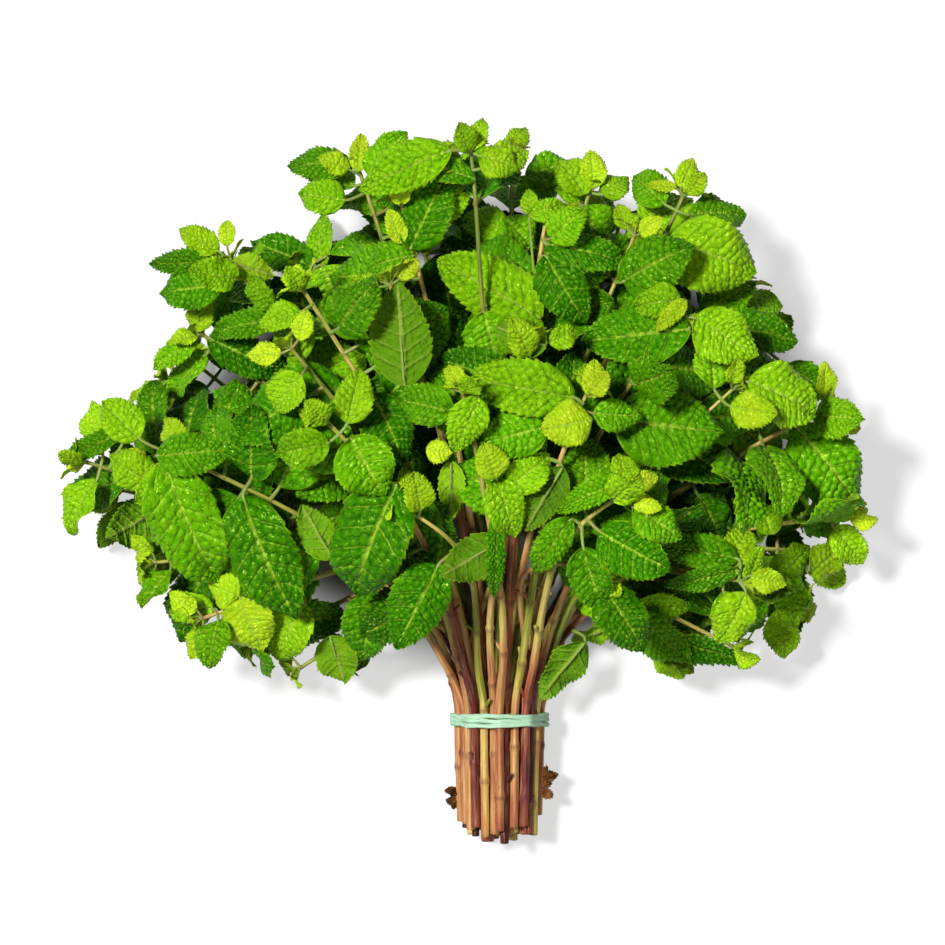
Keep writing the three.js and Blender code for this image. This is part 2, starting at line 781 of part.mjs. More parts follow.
// One leaf of a pair, turned and shrunk by small steps until it has room.
function growLeaf(owner, line, distance, angle, size, seed) {
  const { node, along } = belowTip(line, distance);
  const level = new THREE.Vector3(0, 0, 1).cross(along).normalize();
  const over = new THREE.Vector3().crossVectors(along, level);
  const out = outOfCrown(node);
  for (let attempt = 0; attempt < PAIR_TRIES; attempt++) {
    const turn = angle + spread(seed, attempt, attempt * 0.055);
    const shrink = size * (1 - 0.008 * attempt);
    const sideways = level.clone().multiplyScalar(Math.cos(turn));
    sideways.addScaledVector(over, Math.sin(turn));
    const lean = 0.3 + 0.5 * (1 - size) + spread(seed, attempt + 60, 0.25);
    const way = sideways.clone().addScaledVector(along, lean);
    way.z *= 0.5;
    way.y -= 0.22 * size * Math.min(1, Math.abs(node.x) / CROWN_HALF_WIDTH + 0.3);
    way.normalize();
    const face = new THREE.Vector3(0, 0, Math.sign(out.z + 0.25)).addScaledVector(out, 0.9);
    face.x += spread(seed, attempt + 120, 0.25 + attempt * 0.012);
    face.y += spread(seed, attempt + 180, 0.25 + attempt * 0.012);
    face.addScaledVector(way, -face.dot(way)).normalize();
    const base = node.clone().addScaledVector(sideways, PETIOLE_LENGTH * (0.4 + 0.6 * size));
    base.addScaledVector(way, PETIOLE_DIAMETER);
    base.z += face.z * (1 + 0.12 * attempt * chance(seed, attempt + 240));
    const leaf = {
      from: node,
      base,
      way,
      face,
      length: LEAF_LENGTH * shrink,
      width: LEAF_WIDTH * shrink * (1 + spread(seed, 5, 0.08)),
      bend: 0.35 + spread(seed, 6 + attempt, 0.5),
      fold: 0.12 + spread(seed, 7 + attempt, 0.25),
    };
    const end = base.y + way.y * leaf.length;
    const hangs = end < CROWN_FOOT || (leaf.length > LEAST_COVER && isBare(middleOf(leaf)));
    if (!hangs && !covers(leaf) && hasRoom(leaf, owner)) return leaf;
  }
  return null;
}

// An outer leaf springs from the uppermost stem that passes near the start of its blade. It is lifted and
// tilted by small steps until it has room.
function growOuterLeaf(row, stems, seed) {
  const [across, along, heading, length, width, side = 1] = row;
  const x = across * CROWN_HALF_WIDTH;
  const y = along * CROWN_LENGTH;
  const found = nearestStem(stems, x, y);
  const angle = THREE.MathUtils.degToRad(heading);
  const flat = new THREE.Vector3(Math.sin(angle), Math.cos(angle), 0);
  const shortfall = new THREE.Vector3(x, y, found.node.z).sub(found.node).length();
  for (let attempt = 0; attempt < OUTER_TRIES; attempt++) {
    const step = attempt / OUTER_TRIES;
    const rise = 0.1 + spread(seed, attempt, 0.1 + step * 0.5);
    const base = new THREE.Vector3(x, y, found.node.z + 2 + shortfall * 0.15 + step * 22);
    const out = outOfCrown(base);
    const way = flat.clone().multiplyScalar(Math.cos(rise));
    way.z = Math.sin(rise) - 0.25 * (1 - out.z);
    way.normalize();
    const face = new THREE.Vector3(0, 0, 1).addScaledVector(out, 0.7);
    face.x += spread(seed, attempt + 60, 0.15 + step * 0.5);
    face.y += spread(seed, attempt + 120, 0.15 + step * 0.5);
    face.addScaledVector(way, -face.dot(way)).normalize().multiplyScalar(side);
    const shrink = 1 - 0.2 * step;
    const leaf = {
      from: found.node,
      base,
      way,
      face,
      length: ((length * LEAF_LENGTH) / 40) * 1.06 * shrink,
      width: ((width * LEAF_WIDTH) / 27) * 1.06 * shrink,
      bend: side * (0.45 + spread(seed, attempt + 180, 0.25)),
      fold: side * (0.05 + spread(seed, attempt + 240, 0.2)),
    };
    if (hasRoom(leaf, found.owner)) return { leaf, owner: found.owner };
  }
  return null;
}

// Of the stems that pass near a place as seen from above, the point of the uppermost one.
function nearestStem(stems, x, y) {
  const near = [];
  for (let owner = 0; owner < leafyCount; owner++) {
    const { line, length } = stems[owner];
    for (let distance = 1; distance < length - TAIL_LENGTH - 2 * BAND_TURN_WIDTH - BARE_FOOT; distance += 3) {
      const { node } = belowTip(line, distance);
      near.push({ owner, node, aside: Math.hypot(node.x - x, node.y - y) });
    }
  }
  const least = Math.min(...near.map((n) => n.aside));
  const close = near.filter((n) => n.aside < Math.max(PETIOLE_REACH, least + 2));
  return close.reduce((a, b) => (b.node.z - b.aside > a.node.z - a.aside ? b : a));
}

// ---------------------------------------------------------------- the sprigs

const lines = tips.map((_, index) => stemPoints(index));
spreadStems(lines);
const leafyCount = tips.length - BARE_TIPS.length;
const stems = lines.map((line, index) => {
  const radius = stemRadius(index);
  for (const stretch of stemSleeve(line, radius)) fill(stretch, index, "stem");
  stand(stemGeometry(line, radius), index);
  return { line, radius, length: lengthOf(line), leaves: [] };
});

OUTER_LEAVES.forEach((row, i) => {
  const grown = growOuterLeaf(row, stems, 5000 + i * 7);
  if (!grown) return;
  fill(leafSheet(grown.leaf), grown.owner, "leaf");
  stand(leafGeometry(grown.leaf), grown.owner);
  outer.push({ at: middleOf(grown.leaf), length: grown.leaf.length });
  stems[grown.owner].leaves.push(grown.leaf);
});

// The stems are bare in the tail and in an upright oval above the band.
function isBare(node) {
  return node.y < BARE_FOOT || Math.hypot(node.x * BARE_NARROWING, node.y) < BARE_LENGTH;
}

// Pairs stand crosswise to the pair below. The youngest leaves of the uppermost sprigs find room first.
for (let k = 0; k < PAIRS.length; k++) {
  const [fromTip, size] = PAIRS[k];
  for (let index = 0; index < leafyCount; index++) {
    const stem = stems[index];
    if (k > 2 && isBare(belowTip(stem.line, fromTip).node)) continue;
    const turned = chance(index, 9) * Math.PI + (k % 2) * (Math.PI / 2);
    for (const half of [0, 1]) {
      const seed = index * 40 + k * 2 + half;
      const grown = size * (1 + spread(seed, 3, 0.12));
      const angle = turned + half * Math.PI;
      const leaf = growLeaf(index, stem.line, fromTip, angle, grown, seed);
      if (!leaf) continue;
      fill(leafSheet(leaf), index, "leaf");
      stand(leafGeometry(leaf), index);
      stem.leaves.push(leaf);
    }
  }
}

const bunch = new THREE.Group();
bunch.name = "bunch_of_mint";

function addPiece(name, geometry, color, roughness) {
  const material = new THREE.MeshStandardMaterial({ color, roughness, metalness: 0 });
  const mesh = new THREE.Mesh(geometry, material);
  mesh.name = name;
  bunch.add(mesh);
}

const number = (n) => String(n + 1).padStart(2, "0");

stems.forEach((stem, index) => {
  let solid = toSolid(stemGeometry(stem.line, stem.radius));
  for (const leaf of stem.leaves) solid = solid.add(toSolid(leafGeometry(leaf)));
  if (index < leafyCount) {
    addPiece("sprig_" + number(index), toGeometry(solid), 0x3f8a12, 0.45);
  } else {
    addPiece("bare_stem_" + number(index - leafyCount), toGeometry(solid), 0x5a3328, 0.6);
  }
});
addPiece("rubber_band", rubberBand(), 0xa9e3bd, 0.5);

// The origin is on the surface, under the middle of the bunch.
const box = new THREE.Box3().setFromObject(bunch);
const middle = box.getCenter(new THREE.Vector3());
bunch.position.set(-middle.x, -middle.y, -box.min.z);

export default bunch;
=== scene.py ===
# A bunch of mint lying on a pale surface: each sprig has a square, jointed stem and quilted, toothed
# leaves, and a rubber band wound three times holds the stems together. Metres, +Z up from the surface.
import math

import bpy
import numpy as np
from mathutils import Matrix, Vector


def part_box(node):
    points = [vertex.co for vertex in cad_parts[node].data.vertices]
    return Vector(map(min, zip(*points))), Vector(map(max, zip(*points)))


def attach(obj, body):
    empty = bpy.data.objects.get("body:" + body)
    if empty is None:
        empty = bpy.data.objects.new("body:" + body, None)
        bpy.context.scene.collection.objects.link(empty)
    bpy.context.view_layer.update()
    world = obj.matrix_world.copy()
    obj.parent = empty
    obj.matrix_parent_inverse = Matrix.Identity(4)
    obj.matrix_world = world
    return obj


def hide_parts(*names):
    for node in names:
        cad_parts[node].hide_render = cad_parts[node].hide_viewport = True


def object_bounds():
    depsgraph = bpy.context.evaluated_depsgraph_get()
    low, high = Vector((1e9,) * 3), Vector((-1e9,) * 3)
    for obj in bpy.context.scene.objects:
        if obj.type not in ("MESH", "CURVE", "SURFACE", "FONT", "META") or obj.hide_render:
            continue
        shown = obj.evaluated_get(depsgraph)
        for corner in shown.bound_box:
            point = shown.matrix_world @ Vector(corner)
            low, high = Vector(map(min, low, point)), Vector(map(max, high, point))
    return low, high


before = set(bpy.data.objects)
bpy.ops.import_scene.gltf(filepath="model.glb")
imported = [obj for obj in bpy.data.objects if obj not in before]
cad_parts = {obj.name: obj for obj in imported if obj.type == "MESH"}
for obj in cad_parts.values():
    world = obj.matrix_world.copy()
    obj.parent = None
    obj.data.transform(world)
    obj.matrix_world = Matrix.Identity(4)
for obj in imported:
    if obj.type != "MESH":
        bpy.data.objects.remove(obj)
cad_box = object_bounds()

MM = 0.001

# ---------------------------------------------------------------- sizes of the plant

BLADE_THICKNESS = 0.3 * MM
QUILT_HEIGHT = 1.15 * MM  # how far a full-grown blade rises between its veins
TOOTH_DEPTH = 1.1 * MM
MIDRIB_DEPTH = 0.5 * MM
LEAST_HEIGHT = 0.1 * MM  # a blade that reaches the ground lies flat on it
ROLL, DIP = 0.22, 0.1  # how far a blade may turn about its midrib and about its foot, in radians
PETIOLE_RADIUS = 0.72 * MM
WIDE_HALF = 1.06  # a blade's wide half over the mean
RING_SHARES = (0.24, 0.64)  # where the two wide rings of a CAD leaf stand along its blade
RING_HALF = 0.48  # half width of the first of them over the leaf's width
CAD_LEAF_THICKNESS = 1.1 * MM
STEM_RINGS = 10  # stretches of a CAD stem
STEM_WIDTHS = (1.0 * MM, 4.4 * MM)  # least and greatest width of a CAD stem from corner to corner
SAME_PLACE = 0.012 * MM  # how near the middles of a section's two diagonals are
SAME_SIZE = 0.02 * MM  # how much a CAD thickness or a section's two diagonals may differ
TIP_OVER_FOOT = 1.5 / 3.5  # thickness of a stem's tip over its cut end
STEM_STEP = 1.1 * MM
STEM_SIDES = 16
STRAND_SIDES = 12
STRAND_STEPS = 220
STRAND_HALF_WIDTH, STRAND_HALF_THICKNESS = 0.86 * MM, 0.6 * MM
FULL_LENGTH = 36 * MM  # from which a leaf has its full relief and number of veins
TEETH_PER_VEIN = 2.4
SWAY, CURL, PUFF = 0.11, 0.13, 0.06  # waves of a blade's margin, its curled tip and its arched halves
VEIN_WIDTH = 0.75 * MM
MIDRIB_WIDTH = 0.85 * MM
CREASE_WIDTH = 1.7 * MM  # over which a cell rises from its border
MIDRIB_RIDGE, VEIN_RIDGE = 0.42 * MM, 0.16 * MM  # how far they stand out of a blade's underside
WIDEST = 0.4  # where along a blade it is widest
GRAIN_RADIUS = 1.7  # of the ring on which the grain of a round piece lies, in mm


def unit(v):
    return v / max(1e-12, float(np.linalg.norm(v)))


# ---------------------------------------------------------------- reading the CAD sprigs


class Node:
    """A CAD node's welded corners and which of them are joined by an edge."""

    def __init__(self, name):
        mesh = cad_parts[name].data
        co = np.zeros(len(mesh.vertices) * 3)
        mesh.vertices.foreach_get("co", co)
        co = co.reshape(-1, 3)
        keys, self.index = np.unique(np.round(co, 7), axis=0, return_inverse=True)
        self.index = self.index.reshape(-1)
        self.co = keys
        self.near = [set() for _ in keys]
        for polygon in mesh.polygons:
            corners = [int(self.index[i]) for i in polygon.vertices]
            for a, b in zip(corners, corners[1:] + corners[:1]):
                if a != b:
                    self.near[a].add(b)
                    self.near[b].add(a)

    def ring_after(self, ring, seen):
        return set().union(*(self.near[i] for i in ring)) - seen


def ring_parts(node, ring):
    """A leaf ring's two edge corners, its middle and the line through its thickness."""
    ids = sorted(ring)
    pairs = []
    for a in range(4):
        for b in range(a + 1, 4):
            others = [i for k, i in enumerate(ids) if k not in (a, b)]
            thick = node.co[ids[a]] - node.co[ids[b]]
            pairs.append((abs(np.linalg.norm(thick) - CAD_LEAF_THICKNESS), a, b, others, thick))
    miss, a, b, others, thick = min(pairs, key=lambda p: p[0])
    if miss > SAME_SIZE:
        return None
    middle = (node.co[ids[a]] + node.co[ids[b]]) / 2
    return [node.co[i] for i in others], middle, unit(thick)


def arc(bend, share):
    """How far a bent blade has gone forward and down at a share of its length, both over that length."""
    if abs(bend) > 1e-4:
        return np.sin(bend * share) / bend, (1 - np.cos(bend * share)) / bend
    return share, share * 0


def read_leaf(node, tip):
    """The leaf that ends at this corner: where it starts, its directions, size, bend and fold."""
    ring_b = set(node.near[tip])
    if len(ring_b) != 4:
        return None
    ring_a = node.ring_after(ring_b, ring_b | {tip})
    if len(ring_a) != 4:
        return None
    neck = node.ring_after(ring_a, ring_a | ring_b)
    a = ring_parts(node, ring_a)
    b = ring_parts(node, ring_b)
    if a is None or b is None:
        return None
    (edges, middle, up) = a
    (_, middle_b, up_b) = b
    reach = [np.linalg.norm(e - middle) for e in edges]
    wide = edges[0] if reach[0] > reach[1] else edges[1]
    forward = unit(middle_b - middle)
    if np.dot(np.cross(unit(wide - middle), forward), up) < 0:
        up = -up
    if np.dot(up_b, up) < 0:
        up_b = -up_b
    side = wide - middle
    fold = math.asin(np.clip(np.dot(unit(side), up), -1, 1))
    side = unit(side - up * np.dot(side, up))
    turn = math.atan2(np.dot(np.cross(up, up_b), side), np.dot(up, up_b))
    bend = -turn / (RING_SHARES[1] - RING_SHARES[0])
    chord = np.linalg.norm(middle_b - middle)
    half = bend * (RING_SHARES[1] - RING_SHARES[0]) / 2
    share = RING_SHARES[1] - RING_SHARES[0]
    length = chord / share * (half / math.sin(half) if abs(half) > 1e-5 else 1)
    width = max(reach) / RING_HALF / WIDE_HALF
    along = np.cross(up, side)
    back = bend * RING_SHARES[0]
    face = up * math.cos(back) - along * math.sin(back)
    way = along * math.cos(back) + up * math.sin(back)
    run, drop = arc(bend, RING_SHARES[0])
    base = middle - way * run * length + face * drop * length
    beyond = set()
    if len(neck) == 4:
        beyond = node.ring_after(neck, neck | ring_a)
    toward = np.mean([node.co[i] for i in beyond], axis=0) - base if beyond else -way
    return {
        "base": base,
        "way": way,
        "face": face,
        "side": side,
        "length": length,
        "width": width,
        "bend": bend,
        "fold": fold,
        "toward": unit(toward),
        "corners": ring_a | ring_b | neck | {tip},
        "tip": node.co[tip],
        "middle": (middle + middle_b) / 2,
    }


def read_stem(node, taken):
    """The stem's section rings: middles, corner directions and radii, from the cut end to the tip."""
    free = [i for i in range(len(node.co)) if i not in taken]
    co = node.co[free]
    gap = co[:, None, :] - co[None, :, :]
    size = np.sqrt((gap**2).sum(2))
    first, second = np.nonzero(np.triu((size > STEM_WIDTHS[0]) & (size < STEM_WIDTHS[1]), 1))
    middles = (co[first] + co[second]) / 2
    ways = co[first] - co[second]
    lengths = size[first, second]
    order = np.argsort(middles[:, 0])
    rings = []
    for place, p in enumerate(order):
        for q in order[place + 1 :]:
            if middles[q, 0] - middles[p, 0] > SAME_PLACE:
                break
            same = abs(lengths[p] - lengths[q]) <= SAME_SIZE
            same = same and np.abs(middles[p] - middles[q]).max() <= SAME_PLACE
            if same and abs(np.dot(ways[p], ways[q])) <= 0.02 * lengths[p] ** 2:
                rings.append((lengths[p] / 2, middles[p], unit(ways[p]), unit(ways[q])))
    rings.sort(key=lambda r: -r[0])
    foot = rings[0][0]
    known = {}
    for radius, middle, one, other in rings:
        loss = max(0.0, (1 - radius / foot) / (1 - TIP_OVER_FOOT))
        place = STEM_RINGS * loss ** (2 / 3)
        if abs(place - round(place)) < 0.12 and round(place) not in known:
            known[round(place)] = (radius, middle, one, other)
    return known


def eased(u, a, b, from_a, to_b):
    """Places on the smooth curve from a to b that leaves and arrives at the given slopes (Hermite)."""
    return (
        (2 * u**3 - 3 * u**2 + 1) * a
        + (u**3 - 2 * u**2 + u) * from_a
        + (3 * u**2 - 2 * u**3) * b
        + (u**3 - u**2) * to_b
    )


def smooth_through(keys, values, at):
    """Values between known ones along a smooth curve (Catmull-Rom over uneven steps)."""
    keys = np.asarray(keys, float)
    values = np.asarray(values, float)
    slopes = np.gradient(values, keys, axis=0)
    seat = np.clip(np.searchsorted(keys, at) - 1, 0, len(keys) - 2)
    span = keys[seat + 1] - keys[seat]
    u = ((at - keys[seat]) / span)[:, None]
    run = span[:, None]
    return eased(u, values[seat], values[seat + 1], slopes[seat] * run, slopes[seat + 1] * run)


# ---------------------------------------------------------------- building meshes


class Shell:
    """Corners, faces and corner values of one piece while it is being made."""

    def __init__(self):
        self.points = []
        self.faces = []
        self.finishes = []
        self.values = {"place": [], "lines": [], "kind": []}
        self.count = 0

    def add(self, points, faces, finish, place, lines, kind):
        self.points.append(points)
        for group in faces:
            self.faces.append(group + self.count)
            self.finishes.append(np.full(len(group), finish))
        for key, value in (("place", place), ("lines", lines), ("kind", kind)):
            self.values[key].append(np.broadcast_to(value, (len(points), 3)))
        self.count += len(points)

    def build(self, name, materials):
        mesh = bpy.data.meshes.new(name)
        points = np.concatenate(self.points)
        points[:, 2] = np.maximum(points[:, 2], LEAST_HEIGHT)
        starts, totals, corners, finishes = [], [], [], []
        start = 0
        for group, finish in zip(self.faces, self.finishes):
            sides = group.shape[1]
            starts.append(start + sides * np.arange(len(group)))
            totals.append(np.full(len(group), sides))
            corners.append(group.reshape(-1))
            finishes.append(finish)
            start += group.size
        mesh.vertices.add(len(points))
        mesh.vertices.foreach_set("co", points.reshape(-1).astype(np.float32))
        mesh.loops.add(start)
        mesh.loops.foreach_set("vertex_index", np.concatenate(corners).astype(np.int32))
        mesh.polygons.add(sum(len(s) for s in starts))
        mesh.polygons.foreach_set("loop_start", np.concatenate(starts).astype(np.int32))
        mesh.polygons.foreach_set("loop_total", np.concatenate(totals).astype(np.int32))
        mesh.polygons.foreach_set("material_index", np.concatenate(finishes).astype(np.int32))
        mesh.update(calc_edges=True)
        mesh.validate()
        mesh.shade_smooth()
        for key, value in self.values.items():
            layer = mesh.attributes.new(key, "FLOAT_VECTOR", "POINT")
            layer.data.foreach_set("vector", np.concatenate(value).reshape(-1).astype(np.float32))
        for material in materials:
            mesh.materials.append(material)
        piece = bpy.data.objects.new(name, mesh)
        bpy.context.scene.collection.objects.link(piece)
        return piece


def grid_faces(rows, columns, closed=False):
    """Quads of a grid of corners counted row by row."""
    reach = columns if closed else columns - 1
    r, c = np.meshgrid(np.arange(rows - 1), np.arange(reach), indexing="ij")
    a = (r * columns + c).reshape(-1)
    b = (r * columns + (c + 1) % columns).reshape(-1)
    return np.stack([a, b, b + columns, a + columns], 1)


def frames_along(path, first=None):
    """Directions along a path and two more across it that don't twist."""
    along = np.gradient(path, axis=0)
    along /= np.maximum(1e-12, np.linalg.norm(along, axis=1, keepdims=True))
    guide = first if first is not None else np.cross(along[0], (0.3, 0.2, 1.0))
    across = np.zeros_like(path)
    for i, way in enumerate(along):
        guide = unit(guide - way * np.dot(guide, way))
        across[i] = guide
    return along, across, np.cross(along, across)


def grain_place(angle, run, radius):
    """Places in mm at which a round piece's grain is looked up: rings that move along with it."""
    parts = (np.cos(angle) * radius, np.sin(angle) * radius, (run / MM)[:, None])
    return np.stack([np.broadcast_to(part, (len(run), len(angle))) for part in parts], 2)


def tube(shell, path, radii, sides, finish, seed, kind, first=None, outline=None):
    """A tube along a path with closed ends, its section round or of the given outline."""
    along, across, over = frames_along(path, first)
    angle = np.arange(sides) / sides * 2 * math.pi
    shape = np.ones(sides) if outline is None else outline(angle)
    reach = np.asarray(radii)[:, None] * shape[None, :]
    points = (
        path[:, None, :]
        + across[:, None, :] * (reach * np.cos(angle))[:, :, None]
        + over[:, None, :] * (reach * np.sin(angle))[:, :, None]
    )
    rows = len(path)
    run = np.concatenate([[0], np.cumsum(np.linalg.norm(np.diff(path, axis=0), axis=1))])
    place = grain_place(angle, run, GRAIN_RADIUS)
    place = place + np.array([seed * 7.31 % 91, seed * 3.17 % 57, seed * 11.3 % 83])
    kinds = np.broadcast_to(np.asarray(kind, float).reshape(-1, 1, 3), (rows, sides, 3))
    faces = [grid_faces(rows, sides, closed=True)]
    extra_points, extra_place, extra_kind, extra_lines = [], [], [], []
    lines = np.zeros((rows * sides, 3))
    base = rows * sides
    k = np.arange(sides)
    after = (k + 1) % sides
    for end, row in ((0, 0), (1, rows - 1)):
        out = along[row] * radii[row] * (1 if end else -1)
        ring = points[row]
        inner = path[row] + (ring - path[row]) * 0.6 + out * 0.12
        extra_points += [inner, (path[row] + out * 0.1)[None]]
        extra_place += [place[row] + 0.3, place[row][:1] + 0.5]
        extra_kind += [kinds[row], kinds[row][:1]]
        extra_lines += [np.tile((0.0, 0.6, 0.0), (sides, 1)), np.array([[0.0, 1.0, 0.0]])]
        outer_ids = row * sides + k
        inner_ids = base + end * (sides + 1) + k
        centre = base + end * (sides + 1) + sides
        ring_quads = np.stack([outer_ids, inner_ids, inner_ids[after], outer_ids[after]], 1)
        fan = np.stack([inner_ids, np.full(sides, centre), inner_ids[after]], 1)
        faces += [ring_quads, fan] if not end else [ring_quads[:, ::-1], fan[:, ::-1]]
    shell.add(
        np.concatenate([points.reshape(-1, 3)] + extra_points),
        faces,
        finish,
        np.concatenate([place.reshape(-1, 3)] + extra_place),
        np.concatenate([lines] + extra_lines),
        np.concatenate([kinds.reshape(-1, 3)] + extra_kind),
    )


# ---------------------------------------------------------------- leaves

UPPER, UNDER, STALK = 0, 1, 2  # a leaf piece's finishes


def outline_half(s):
    """Half width of a blade over its widest, from its base (0) to its tip (1)."""
    s = np.clip(s, 0, 1)
    low = (1 - np.clip((WIDEST - s) / WIDEST, 0, 1) ** 2.5) ** 0.62
    high = (1 - np.clip((s - WIDEST) / (1 - WIDEST), 0, 1) ** 2.05) ** 0.86
    return np.where(s < WIDEST, low, high)


def ramp(x, low, high):
    x = np.clip((x - low) / (high - low), 0, 1)
    return x * x * (3 - 2 * x)


def turned_by(angle, one, other):
    """Two directions at right angles, turned in their plane from the first towards the other."""
    turn, rest = math.sin(angle), math.cos(angle)
    return one * rest + other * turn, other * rest - one * turn


def leaf_shell(shell, leaf, seed, kind):
    """One blade, a thin closed sheet with teeth, sunken veins above and raised ones below."""
    random = np.random.default_rng(seed)
    length, width = leaf["length"], leaf["width"]
    size = min(1.0, length / FULL_LENGTH)
    veins = int(round(3.6 + 2.6 * size))
    teeth = int(round(TEETH_PER_VEIN * veins))
    rows = teeth * (5 if size > 0.4 else 4) + 1
    half_columns = int(round(6 + 11 * size))
    t = np.linspace(0, 1, rows)[:, None]
    v = np.linspace(-1, 1, 2 * half_columns + 1)[None, :]
    v = np.sign(v) * np.abs(v) ** 1.12
    t, v = np.broadcast_arrays(t, v)
    aside = np.abs(v)

    def forward(t, aside):
        """Rows sweep towards the tip as they leave the midrib, as the side veins do."""
        return t + aside**1.1 * (t**0.62 - t) * np.minimum(1, t / 0.1) ** 0.7

    s = forward(t, aside)
    margin = ramp(aside, 0.8, 1.0)
    phase = (t * teeth) % 1
    tooth = np.where(phase < 0.72, phase / 0.72, (1 - phase) / 0.28)
    tooth = tooth * ramp(s, 0.1, 0.24) * (1 - 0.6 * ramp(s, 0.93, 1)) * margin
    uneven = 1 + 0.35 * np.sin(np.floor(t * teeth) * 2.4 + seed)
    s = np.minimum(1, s + 0.4 / teeth * tooth)
    stalk = PETIOLE_RADIUS * (0.55 + 0.45 * size)
    half = width / 2 * outline_half(s)
    least = stalk * (1 - ramp(s, 0.0, 0.2)) + 0.12 * MM
    half = np.maximum(half, least)
    half = half * (1 - 0.02 * margin) + TOOTH_DEPTH * (0.45 + 0.55 * size) * tooth * uneven
    x = v * half * np.where(v > 0, WIDE_HALF, 2 - WIDE_HALF)
    y = s * length

    # Small cells between the side veins, each of them puffed up.
    cells = []
    bands = int(round((1.3 + 0.7 * size) * veins))
    for row in range(bands):
        across = 4 if size > 0.6 else 3
        for column in range(across):
            for hand in (-1, 1):
                ct = (row + 0.5 + random.uniform(-0.3, 0.3)) / bands
                cv = (column + 0.5 + random.uniform(-0.36, 0.36)) / across
                cs = float(forward(ct, cv))
                reach = width / 2 * float(outline_half(np.array(cs)))
                cells.append((hand * cv * reach, cs * length))
    cells = np.array(cells)
    far = np.hypot(x.reshape(-1, 1) - cells[:, 0], y.reshape(-1, 1) - cells[:, 1])
    two = np.partition(far, 1, axis=1)[:, :2]
    crease = ((two[:, 1] - two[:, 0]) / (CREASE_WIDTH * (0.4 + 0.6 * size))).reshape(x.shape)
    crease = np.clip(crease, 0, 1) ** 0.65
    vein_phase = t * veins
    off_vein = (0.5 - np.abs((vein_phase % 1) - 0.5)) * length / veins
    side_vein = 1 - np.clip(off_vein / VEIN_WIDTH, 0, 1)
    side_vein = side_vein * ramp(aside, 0.02, 0.1) * (1 - 0.7 * ramp(aside, 0.75, 1))
    midrib = np.exp(-((x / (MIDRIB_WIDTH * (0.5 + 0.5 * size))) ** 2)) * (1 - ramp(s, 0.85, 1))
    soft = 1 - 0.55 * ramp(aside, 0.8, 1)
    quilt = QUILT_HEIGHT * (0.08 + 0.92 * size) * leaf["quilting"]
    rise = quilt * (crease - 0.55 * size * side_vein) * soft * ramp(s, 0.0, 0.1)
    rise -= MIDRIB_DEPTH * size * midrib
    waves = random.uniform(1.1, 1.9)
    phases = random.uniform(0, 2 * math.pi, 3)
    wave = np.sin(2 * math.pi * waves * s + phases[0] + (v > 0) * phases[1])
    sway = SWAY * width * aside**2.2 * wave
    curl = -CURL * length * ramp(s, 0.55, 1.0) ** 1.5 * random.uniform(-0.5, 1.3)
    puff = PUFF * width * (1 - (aside - 0.45) ** 2 / 0.3) * ramp(s, 0.0, 0.3) * random.uniform(0.2, 1)
    level = rise + sway + curl + puff * (aside > 0)

    bend, fold = leaf["bend"], leaf["fold"]
    angle = bend * s
    run, drop = arc(bend, s)
    way, face, side = leaf["way"], leaf["face"], leaf["side"]
    roll, dip = random.uniform(-ROLL, ROLL), random.uniform(-DIP, DIP)
    face, side = turned_by(roll, face, side)
    way, face = turned_by(dip, way, face)
    up = face * np.cos(angle)[..., None] + way * np.sin(angle)[..., None]
    centre = leaf["base"] + way * (run * length)[..., None] - face * (drop * length)[..., None]
    bow = np.sqrt(x**2 + (0.08 * width) ** 2) - 0.08 * width
    middle = centre + side * (x * math.cos(fold))[..., None]
    middle = middle + up * (bow * math.sin(fold) + level)[..., None]

    # Normals of the sheet, to part its two faces.
    along = np.gradient(middle, axis=0)
    beside = np.gradient(middle, axis=1)
    normal = np.cross(beside, along)
    normal /= np.maximum(1e-12, np.linalg.norm(normal, axis=2, keepdims=True))
    if np.mean(np.einsum("ijk,ijk->ij", normal, up)) < 0:
        normal = -normal
    thin = BLADE_THICKNESS * (0.5 + 0.5 * size) * (1 - 0.6 * ramp(aside, 0.85, 1))
    ridge = MIDRIB_RIDGE * size * midrib + VEIN_RIDGE * size * side_vein
    top = middle + normal * (thin / 2)[..., None]
    below = middle - normal * (thin / 2 + ridge)[..., None]

    seed_place = np.array([0.0, 0.0, (seed * 17.37) % 400])
    place = np.stack([x / MM, y / MM, np.zeros_like(x)], 2) + seed_place
    lines = np.stack([v, vein_phase, crease], 2)
    columns = v.shape[1]
    upper_quads = grid_faces(rows, columns)
    centre_corner = rows // 2, columns // 2
    turned = np.dot(np.cross(beside[centre_corner], along[centre_corner]), up[centre_corner]) < 0
    if turned:
        upper_quads = upper_quads[:, ::-1]
    offset = rows * columns
    under_quads = upper_quads[:, ::-1] + offset
    border = np.concatenate(
        [
            np.arange(columns),
            np.arange(1, rows) * columns + columns - 1,
            (rows - 1) * columns + np.arange(columns - 2, -1, -1),
            np.arange(rows - 2, 0, -1) * columns,
        ]
    )
    after = np.roll(border, -1)
    rim = np.stack([border, border + offset, after + offset, after], 1)
    if turned:
        rim = rim[:, ::-1]
    both = np.concatenate([top.reshape(-1, 3), below.reshape(-1, 3)])
    values = [np.concatenate([a.reshape(-1, 3)] * 2) for a in (place, lines)]
    before = shell.count
    shell.add(both, [upper_quads, rim], UPPER, values[0], values[1], kind)
    shell.faces.append(under_quads + before)
    shell.finishes.append(np.full(len(under_quads), UNDER))
    leaf["set"] = (way, face)
    return stalk


